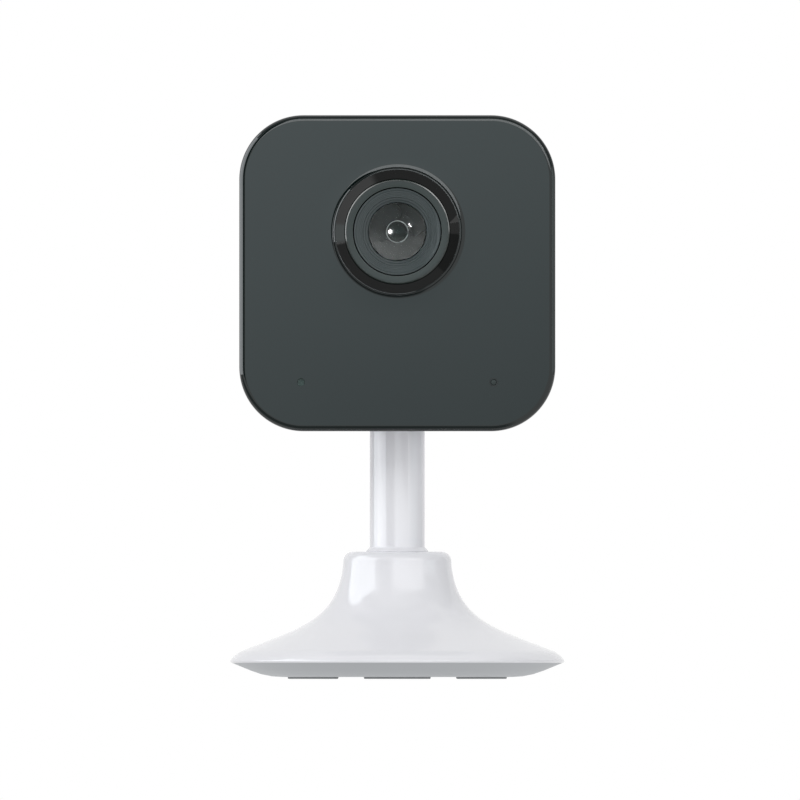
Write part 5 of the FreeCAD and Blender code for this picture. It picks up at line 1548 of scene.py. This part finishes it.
@dataclass(frozen=True)
class Finish:
    """A finish: two tones that a pattern mixes, its gloss and its relief.

    Attributes:
        colour: linear colour where the pattern is low.
        second: linear colour where the pattern is high.
        roughness: roughness where the pattern is low and high.
        effect: the shared pattern.
        scale: the pattern's scale, in cells per metre.
        relief: height of the relief, in millimetres.
        metallic: how far it is a metal.
        coat: weight of a clear coat.
        coat_roughness: the coat's roughness.
        transmission: how far it lets light through.
        refraction: index of refraction.
        centre: where the pattern's middle lies, in millimetres.
    """

    colour: Colour
    second: Colour
    roughness: tuple[float, float]
    effect: Effect = Effect.MOULDED
    scale: float = 900.0
    relief: float = 0.004
    metallic: float = 0.0
    coat: float = 0.0
    coat_roughness: float = 0.04
    transmission: float = 0.0
    refraction: float = 1.5
    centre: tuple[float, float, float] = (0.0, 0.0, 0.0)

    def build(self, name: str, library: EffectLibrary) -> bpy.types.Material:
        """Makes the material.

        Args:
            name: its name.
            library: the shared patterns.

        Returns:
            The material.
        """
        material = bpy.data.materials.new(name)
        bench = bench_for(material)
        place = bench.add("ShaderNodeTexCoord").outputs["Object"]
        shift = tuple(-value * MM for value in self.centre)
        place = bench.add("ShaderNodeMapping", Vector=place, Location=shift).outputs[0]
        pattern = bench.add("ShaderNodeGroup", {"node_tree": library.group(self.effect)}, Vector=place,
                            Scale=self.scale)
        mask = pattern.outputs["Mask"]
        bump = bench.add("ShaderNodeBump", Height=pattern.outputs["Height"], Strength=1.0,
                         Distance=self.relief * MM)
        shader = bench.add(
            "ShaderNodeBsdfPrincipled",
            Base_Color=bench.mixed(mask, (*self.colour, 1.0), (*self.second, 1.0)),
            Roughness=bench.spread(mask, *self.roughness),
            Metallic=self.metallic,
            IOR=self.refraction,
            Coat_Weight=self.coat,
            Coat_Roughness=self.coat_roughness,
            Transmission_Weight=self.transmission,
            Normal=bump.outputs[0],
        )
        bench.add("ShaderNodeOutputMaterial", Surface=shader.outputs[0])
        return material


FINISHES: dict[str, Finish] = {
    "shell_white": Finish((0.78, 0.785, 0.82), (0.80, 0.805, 0.835), (0.11, 0.14), relief=0.0008),
    "cover_grey": Finish((0.42, 0.44, 0.46), (0.45, 0.47, 0.49), (0.42, 0.52), relief=0.006),
    "pad_rubber": Finish((0.25, 0.26, 0.27), (0.31, 0.32, 0.33), (0.6, 0.8), Effect.STIPPLED, 2600, 0.03),
    "mesh_dark": Finish((0.016, 0.036, 0.032), (0.022, 0.044, 0.040), (0.5, 0.6),
                        Effect.STIPPLED, 9000, 0.01),
    "face_dark": Finish((0.0035, 0.0080, 0.0080), (0.0045, 0.0095, 0.0092), (0.02, 0.04), relief=0.0002),
    "bezel_black": Finish((0.0040, 0.0080, 0.0080), (0.0050, 0.0090, 0.0088), (0.02, 0.04),
                          Effect.TURNED, 300, 0.0002, centre=LENS_MIDDLE),
    "bowl_black": Finish((0.0055, 0.0062, 0.0060), (0.0068, 0.0074, 0.0072), (0.02, 0.04),
                         Effect.TURNED, 300, 0.0002, centre=LENS_MIDDLE),
    "lens_black": Finish((0.009, 0.016, 0.014), (0.012, 0.020, 0.017), (0.07, 0.11),
                         Effect.TURNED, 1500, 0.0004, centre=LENS_MIDDLE),
    "retainer_satin": Finish((0.037, 0.051, 0.053), (0.043, 0.057, 0.059), (0.30, 0.38),
                             Effect.TURNED, 1500, 0.001, centre=LENS_MIDDLE),
    "baffle_gloss": Finish((0.007, 0.010, 0.010), (0.009, 0.012, 0.012), (0.24, 0.30),
                           Effect.TURNED, 900, 0.0006, refraction=1.42, centre=LENS_MIDDLE),
    "iris_edge": Finish((0.28, 0.30, 0.30), (0.34, 0.36, 0.36), (0.25, 0.35),
                        Effect.TURNED, 2500, 0.001, metallic=1.0, centre=LENS_MIDDLE),
    "lens_glass": Finish((0.97, 0.99, 0.985), (0.98, 0.995, 0.99), (0.0, 0.004), relief=0.0, transmission=1.0,
                         refraction=1.02, coat=0.01, coat_roughness=0.1),
    "inner_glass": Finish((0.007, 0.014, 0.013), (0.009, 0.016, 0.015), (0.05, 0.07), relief=0.0,
                          transmission=0.2, refraction=1.33),
    "filter_red": Finish((0.75, 0.35, 0.30), (0.80, 0.45, 0.42), (0.02, 0.04), relief=0.0, transmission=1.0),
    "pipe_clear": Finish((0.008, 0.015, 0.014), (0.012, 0.020, 0.019), (0.04, 0.07), relief=0.0004,
                         transmission=0.15),
    "frame_black": Finish((0.012, 0.012, 0.013), (0.018, 0.018, 0.019), (0.4, 0.55), relief=0.01),
    "board_green": Finish((0.010, 0.075, 0.030), (0.022, 0.14, 0.055), (0.25, 0.32), Effect.BOARD, 420, 0.02,
                          coat=0.3),
    "chip_black": Finish((0.010, 0.010, 0.011), (0.020, 0.020, 0.021), (0.45, 0.6),
                         Effect.STIPPLED, 5000, 0.006),
    "lamp_clear": Finish((0.80, 0.82, 0.75), (0.85, 0.86, 0.80), (0.05, 0.1), relief=0.001, transmission=0.6),
    "steel_bright": Finish((0.50, 0.51, 0.52), (0.62, 0.62, 0.63), (0.22, 0.36), Effect.BRUSHED, 1800, 0.004,
                           metallic=1.0),
    "magnet_grey": Finish((0.30, 0.30, 0.31), (0.42, 0.42, 0.43), (0.35, 0.5), Effect.STIPPLED, 1400, 0.01,
                          metallic=1.0),
    # the lighter second colour paints a highlight on each turn of wire, the darker first colour paints shade
    # between turns
    "coil_copper": Finish((0.50, 0.20, 0.09), (0.80, 0.38, 0.20), (0.25, 0.35), Effect.WOUND, 1250, 0.12,
                          metallic=1.0),
    "flex_amber": Finish((0.40, 0.16, 0.02), (0.55, 0.28, 0.07), (0.25, 0.35),
                         Effect.RIBBON, 320, 0.01, coat=0.3),
    "cone_black": Finish((0.012, 0.012, 0.012), (0.03, 0.03, 0.03), (0.6, 0.8), Effect.RINGED, 160, 0.05,
                         centre=(0.0, 0.0, 87.0)),
}


# ---- The studio -----------------------------------------------------------------------------------
def receivers(name: str, only: Sequence[str], spares: Sequence[str] = ()) -> bpy.types.Collection:
    """The collection of the pieces that a light shines on alone, or leaves out.

    Args:
        name: the light's name.
        only: the pieces that it shines on.
        spares: the pieces that it leaves out, where it shines on all others.

    Returns:
        The collection.
    """
    group = bpy.data.collections.new(name + "_receivers")
    for piece in only or spares:
        group.objects.link(bpy.data.objects[piece])
    for row in group.collection_objects:
        row.light_linking.link_state = "INCLUDE" if only else "EXCLUDE"
    return group


WHITE_PARTS = ("foot_shell", "stem_shaft")
RING = ("lens_barrel_ring",)
GLASS = ("lens_front_glass",)


@dataclass(frozen=True)
class Card:
    """A card that only shines into glossy surfaces; a dark one is a flag.

    Attributes:
        name: its name.
        middle: where its middle stands, in millimetres.
        target: what it faces, in millimetres.
        width: its width.
        height: its height.
        glow: strength where 1 is white.
        soft: share of its half size over which its edge fades.
        tint: its colour.
        low_glow: strength at its lower edge, where that differs.
        roll: turn about its view of the target, in degrees.
        only: the pieces that it shines on; it adds to what lies behind it.
        spares: the pieces that it doesn't shine on; it adds too.
        behind: whether it is only seen through glass.
    """

    name: str
    middle: tuple[float, float, float]
    target: tuple[float, float, float]
    width: float
    height: float
    glow: float
    soft: float = 0.15
    tint: Colour = (1.0, 1.0, 1.0)
    low_glow: float | None = None
    roll: float = 0.0
    only: tuple[str, ...] = ()
    spares: tuple[str, ...] = ()
    behind: bool = False

    def corners(self) -> Array:
        """Its corners: the middle plus and minus half the width and height, square to its view."""
        middle, target = np.array(self.middle, float), np.array(self.target, float)
        ahead = (target - middle) / np.linalg.norm(target - middle)
        up = np.array([0.0, 0.0, 1.0]) if abs(ahead[2]) < 0.95 else np.array([0.0, 1.0, 0.0])
        across = np.cross(ahead, up)
        across /= np.linalg.norm(across)
        rise = np.cross(across, ahead)
        turn = math.radians(self.roll)
        across, rise = (across * math.cos(turn) + rise * math.sin(turn),
                        rise * math.cos(turn) - across * math.sin(turn))
        signs = np.array([[-1, -1], [1, -1], [1, 1], [-1, 1]]) / 2
        return middle + signs[:, :1] * self.width * across + signs[:, 1:] * self.height * rise

    def build(self) -> None:
        """Makes the card with its own map from edge to edge, seen by glossy rays or through glass only."""
        mesh = bpy.data.meshes.new(self.name)
        mesh.from_pydata((self.corners() * MM).tolist(), [], [(0, 1, 2, 3)])
        layer = mesh.uv_layers.new(name="card")
        layer.data.foreach_set("uv", [-1.0, -1.0, 1.0, -1.0, 1.0, 1.0, -1.0, 1.0])
        made = bpy.data.objects.new(self.name, mesh)
        bpy.context.scene.collection.objects.link(made)
        for ray in ("camera", "diffuse", "volume_scatter", "shadow", *(("glossy",) if self.behind else ())):
            setattr(made, "visible_" + ray, False)
        made.data.materials.append(self.material())
        if self.only or self.spares:
            made.light_linking.receiver_collection = receivers(self.name, self.only, self.spares)

    def material(self) -> bpy.types.Material:
        """A glow that fades to clear at the card's edges: the share is the smaller distance to an edge."""
        material = bpy.data.materials.new(self.name)
        bench = bench_for(material)
        place = bench.add("ShaderNodeSeparateXYZ", Vector=bench.add("ShaderNodeTexCoord").outputs["UV"])
        reach = [bench.math("SUBTRACT", 1.0, bench.math("ABSOLUTE", place.outputs[i])) for i in range(2)]
        inner = bench.math("MINIMUM", *reach)
        fade = bench.add("ShaderNodeMapRange", {"interpolation_type": "SMOOTHSTEP"}, Value=inner,
                         From_Min=0.0, From_Max=max(self.soft, 1e-3), To_Min=0.0, To_Max=1.0)
        share = fade.outputs["Result"]
        low = self.glow if self.low_glow is None else self.low_glow
        strength = bench.spread(place.outputs[1], low, self.glow, -1.0, 1.0)
        clear = bench.add("ShaderNodeBsdfTransparent")
        if self.only or self.spares:
            strength = bench.math("MULTIPLY", strength, share)
            both = bench.add("ShaderNodeAddShader")
        else:
            both = bench.add("ShaderNodeMixShader", Fac=share)
        glow = bench.add("ShaderNodeEmission", Color=(*self.tint, 1.0), Strength=strength)
        shaders = [socket for socket in both.inputs if socket.type == "SHADER"]
        bench.feed(shaders[0], clear.outputs[0])
        bench.feed(shaders[1], glow.outputs[0])
        bench.add("ShaderNodeOutputMaterial", Surface=both.outputs[0])
        return material


@dataclass(frozen=True)
class Lamp:
    """A soft square lamp that lights the object unmirrored, or a round one that is only mirrored.

    Attributes:
        name: its name.
        middle: where it stands, in millimetres.
        size: its side, or its width across.
        power: its power in watts.
        mirrored: the pieces in which alone it is mirrored.
    """

    name: str
    middle: tuple[float, float, float]
    size: float
    power: float
    mirrored: tuple[str, ...] = ()

    def build(self, target: Sequence[float]) -> None:
        """Makes the lamp.

        A mirrored one shines only on rays that have bounced once at most, so it lays no veil on the glass.

        Args:
            target: what it is turned to, in millimetres.
        """
        light = bpy.data.lights.new(self.name, "AREA")
        light.shape = "DISK" if self.mirrored else "SQUARE"
        light.size = self.size * MM
        light.energy = self.power
        lamp = bpy.data.objects.new(self.name, light)
        lamp.location = [value * MM for value in self.middle]
        aim = [(t - m) * MM for t, m in zip(target, self.middle)]
        lamp.rotation_euler = mathutils.Vector(aim).to_track_quat("-Z", "Y").to_euler()
        lamp.visible_glossy = bool(self.mirrored)
        lamp.visible_diffuse = not self.mirrored
        lamp.visible_transmission = not self.mirrored
        lamp.visible_camera = False
        if self.mirrored:
            lamp.light_linking.receiver_collection = receivers(self.name, self.mirrored)
            bench = bench_for(light)
            depth = bench.add("ShaderNodeLightPath").outputs["Ray Depth"]
            glow = bench.add("ShaderNodeEmission", Color=WHITE,
                             Strength=bench.math("LESS_THAN", depth, 1.5))
            bench.add("ShaderNodeOutputLight", Surface=glow.outputs[0])
        bpy.context.scene.collection.objects.link(lamp)


@dataclass(frozen=True)
class Studio:
    """The pale floor, the white surroundings, the lamps, the cards and the camera.

    Attributes:
        fill: strength of the surroundings' soft light.
        table: strength of the floor's own light.
        glow: strength of the part of it that is seen.
        floor_radius: radius of the floor.
        lamps: the lamps.
        cards: the cards and flags.
        target: what the lamps are turned to.
        camera_middle: where the camera stands.
        view_width: width of the camera's view.
    """

    fill: float = 0.58
    table: float = 0.72
    glow: float = 0.25
    floor_radius: float = 2500.0
    lamps: tuple[Lamp, ...] = (
        Lamp("key_lamp", (-700.0, -900.0, 800.0), 700.0, 7.0),
        Lamp("fill_lamp", (800.0, -900.0, 350.0), 900.0, 3.0),
        Lamp("glint_left", (-124.0, -479.0, 82.3), 70.0, 85.0, GLASS),
        Lamp("glint_right", (224.0, -427.0, 182.0), 18.0, 14.0, GLASS),
        Lamp("glint_right_high", (208.0, -432.0, 214.0), 18.0, 12.0, GLASS),
    )
    cards: tuple[Card, ...] = (
        Card("face_wash", (0.0, -900.0, 84.0), (0.0, 0.0, 84.0), 150.0, 150.0, 2.3, 0.5,
             (0.86, 0.97, 1.0), 0.85, roll=19.0),
        Card("top_strip", (150.0, -517.0, 360.0), (150.0, 0.0, 360.0), 600.0, 430.0, 2.75, 0.08,
             (0.92, 0.98, 1.0), spares=("lens_front_glass", "lens_stepped_retainer", *WHITE_PARTS)),
        Card("glass_glow", (0.0, -510.0, 360.0), (0.0, 0.0, 360.0), 900.0, 460.0, 2.6, 0.3,
             only=GLASS, behind=True),
        Card("top_flag", (0.0, -216.0, 525.0), (0.0, -216.0, 75.0), 1300.0, 370.0, 0.3, 0.05),
        Card("left_softbox", (-500.0, -114.0, 260.0), (0.0, -114.0, 260.0), 772.0, 820.0, 4.4, 0.25,
             (0.93, 0.97, 1.0), spares=("lens_bowl", "lens_front_glass")),
        Card("left_backing", (-510.0, -117.0, 335.0), (0.0, -117.0, 335.0), 805.0, 690.0, 0.12, 0.05),
        Card("left_flag", (-323.0, -638.0, 290.0), (0.0, -17.0, 290.0), 340.0, 1240.0, 0.0, 0.08),
        Card("right_card", (500.0, -160.0, 95.0), (0.0, -160.0, 95.0), 420.0, 190.0, 1.5, 0.4,
             (0.9, 1.0, 1.0)),
        Card("right_flag", (560.0, -175.0, 362.0), (0.0, -175.0, 362.0), 450.0, 325.0, 0.3, 0.08),
        Card("right_rear_flag", (500.0, 200.0, 220.0), (0.0, 200.0, 220.0), 440.0, 900.0, 0.5, 0.05),
        Card("floor_flag", (-232.0, -110.0, 1.5), (-232.0, -110.0, 50.0), 555.0, 150.0, 0.3, 0.06),
        Card("white_panel", (271.0, -490.0, 250.0), (0.0, 0.0, 250.0), 900.0, 600.0, 1.5, 0.1,
             only=WHITE_PARTS),
        Card("stem_edge_glow", (-480.0, -120.0, 45.0), (0.0, -120.0, 45.0), 340.0, 140.0, 2.2, 0.5,
             only=("stem_shaft",)),
        Card("bowl_glow", (-480.0, -250.0, 45.0), (0.0, -250.0, 45.0), 400.0, 130.0, 0.3, 0.3,
             only=("lens_bowl",)),
        Card("ring_top_glow", (0.0, -400.0, 503.0), (0.0, 0.0, 503.0), 1300.0, 560.0, 7.0, 0.3,
             only=RING),
        Card("ring_left_glow", (-560.0, -400.0, 90.0), (-560.0, 0.0, 90.0), 300.0, 460.0, 6.0, 0.3,
             only=RING),
        Card("ring_right_glow", (560.0, -400.0, 200.0), (560.0, 0.0, 200.0), 300.0, 280.0, 4.0, 0.3,
             only=RING),
        Card("glass_side_glow", (-290.0, -530.0, 60.0), (0.0, -17.0, 83.0), 260.0, 300.0, 3.0, 0.5,
             only=GLASS, behind=True),
        Card("ring_strip_right", (300.0, -592.0, 190.0), (0.0, -17.0, 90.0), 330.0, 480.0, 2.2, 0.3,
             only=RING),
        Card("ring_strip", (-300.0, -592.0, 190.0), (0.0, -17.0, 90.0), 330.0, 480.0, 3.6, 0.3,
             only=RING),
    )
    target: tuple[float, float, float] = (0.0, 0.0, 52.0)
    camera_middle: tuple[float, float, float] = (0.5, -600.0, 51.7)
    view_width: float = 148.28

    def surroundings(self) -> None:
        """The world: plain white where it is seen or mirrored, and a softer light on everything else."""
        world = bpy.data.worlds.new("studio")
        bpy.context.scene.world = world
        bench = bench_for(world)
        rays = bench.add("ShaderNodeLightPath").outputs
        seen = bench.math("MAXIMUM", rays["Is Camera Ray"], rays["Is Glossy Ray"])
        seen = bench.math("MAXIMUM", seen, rays["Is Transmission Ray"])
        glow = bench.add("ShaderNodeBackground", Color=WHITE,
                         Strength=bench.spread(seen, self.fill, 1.0))
        bench.add("ShaderNodeOutputWorld", Surface=glow.outputs[0])

    def floor(self) -> None:
        """A pale round table: it keeps the object's shadow, turns to white far out, and lights evenly."""
        angle = np.arange(96) * TURN / 96
        rim = np.column_stack([np.cos(angle), np.sin(angle), np.zeros(96)]) * self.floor_radius
        made = mesh_object("studio_floor", Surface(rim, [list(range(96))]))
        material = bpy.data.materials.new("studio_floor")
        bench = bench_for(material)
        place = bench.add("ShaderNodeTexCoord").outputs["Object"]
        far = bench.add("ShaderNodeVectorMath", {"operation": "LENGTH"}, Vector=place).outputs["Value"]
        paper = bench.noise(place, 60.0, 4.0)
        paper = bench.add("ShaderNodeBsdfDiffuse", Color=bench.mixed(paper, (0.90, 0.90, 0.90, 1.0),
                                                                    (0.92, 0.92, 0.92, 1.0)))
        white = bench.add("ShaderNodeEmission", Color=WHITE, Strength=1.0)
        glow = bench.add("ShaderNodeEmission", Color=WHITE, Strength=self.glow)
        near = bench.add("ShaderNodeAddShader")
        bench.feed(near.inputs[0], paper.outputs[0])
        bench.feed(near.inputs[1], glow.outputs[0])
        rays = bench.add("ShaderNodeLightPath").outputs
        mirrored = bench.math("MAXIMUM", rays["Is Glossy Ray"], rays["Is Transmission Ray"])
        seen = bench.math("MULTIPLY", rays["Is Camera Ray"], bench.spread(far, 0.0, 1.0, 0.1, 0.4))
        share = bench.math("MAXIMUM", mirrored, seen)
        both = bench.add("ShaderNodeMixShader", Fac=share)
        bench.feed(both.inputs[1], near.outputs[0])
        bench.feed(both.inputs[2], white.outputs[0])
        table = bench.add("ShaderNodeEmission", Color=WHITE, Strength=self.table)
        lit = bench.add("ShaderNodeMixShader", Fac=rays["Is Diffuse Ray"])
        bench.feed(lit.inputs[1], both.outputs[0])
        bench.feed(lit.inputs[2], table.outputs[0])
        bench.add("ShaderNodeOutputMaterial", Surface=lit.outputs[0])
        made.data.materials.append(material)

    def camera(self) -> None:
        """The camera, level and square to the face."""
        data = bpy.data.cameras.new("camera")
        data.type = "ORTHO"
        data.ortho_scale = self.view_width * MM
        data.clip_end = 20.0
        camera = bpy.data.objects.new("camera", data)
        camera.location = [value * MM for value in self.camera_middle]
        camera.rotation_euler = (math.pi / 2, 0.0, 0.0)
        bpy.context.scene.collection.objects.link(camera)
        bpy.context.scene.camera = camera

    def build(self) -> None:
        """Makes the whole studio, once the pieces are there."""
        self.camera()
        self.surroundings()
        self.floor()
        for lamp in self.lamps:
            lamp.build(self.target)
        for card in self.cards:
            card.build()
        bpy.context.scene.view_settings.view_transform = "Standard"


def main() -> None:
    """Builds the studio and the camera's sub-assemblies in order."""
    logging.basicConfig(level=logging.INFO, format="%(message)s")
    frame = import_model()
    library = EffectLibrary()
    shop = Workshop({name: finish.build(name + "_finish", library) for name, finish in FINISHES.items()})
    shop.dress_inside(frame["nodes"])
    for part in (Foot(), Stem(), Face(), Lens(), Back()):
        part.build(shop)
    Studio().build()


if __name__ == "__main__":
    main()
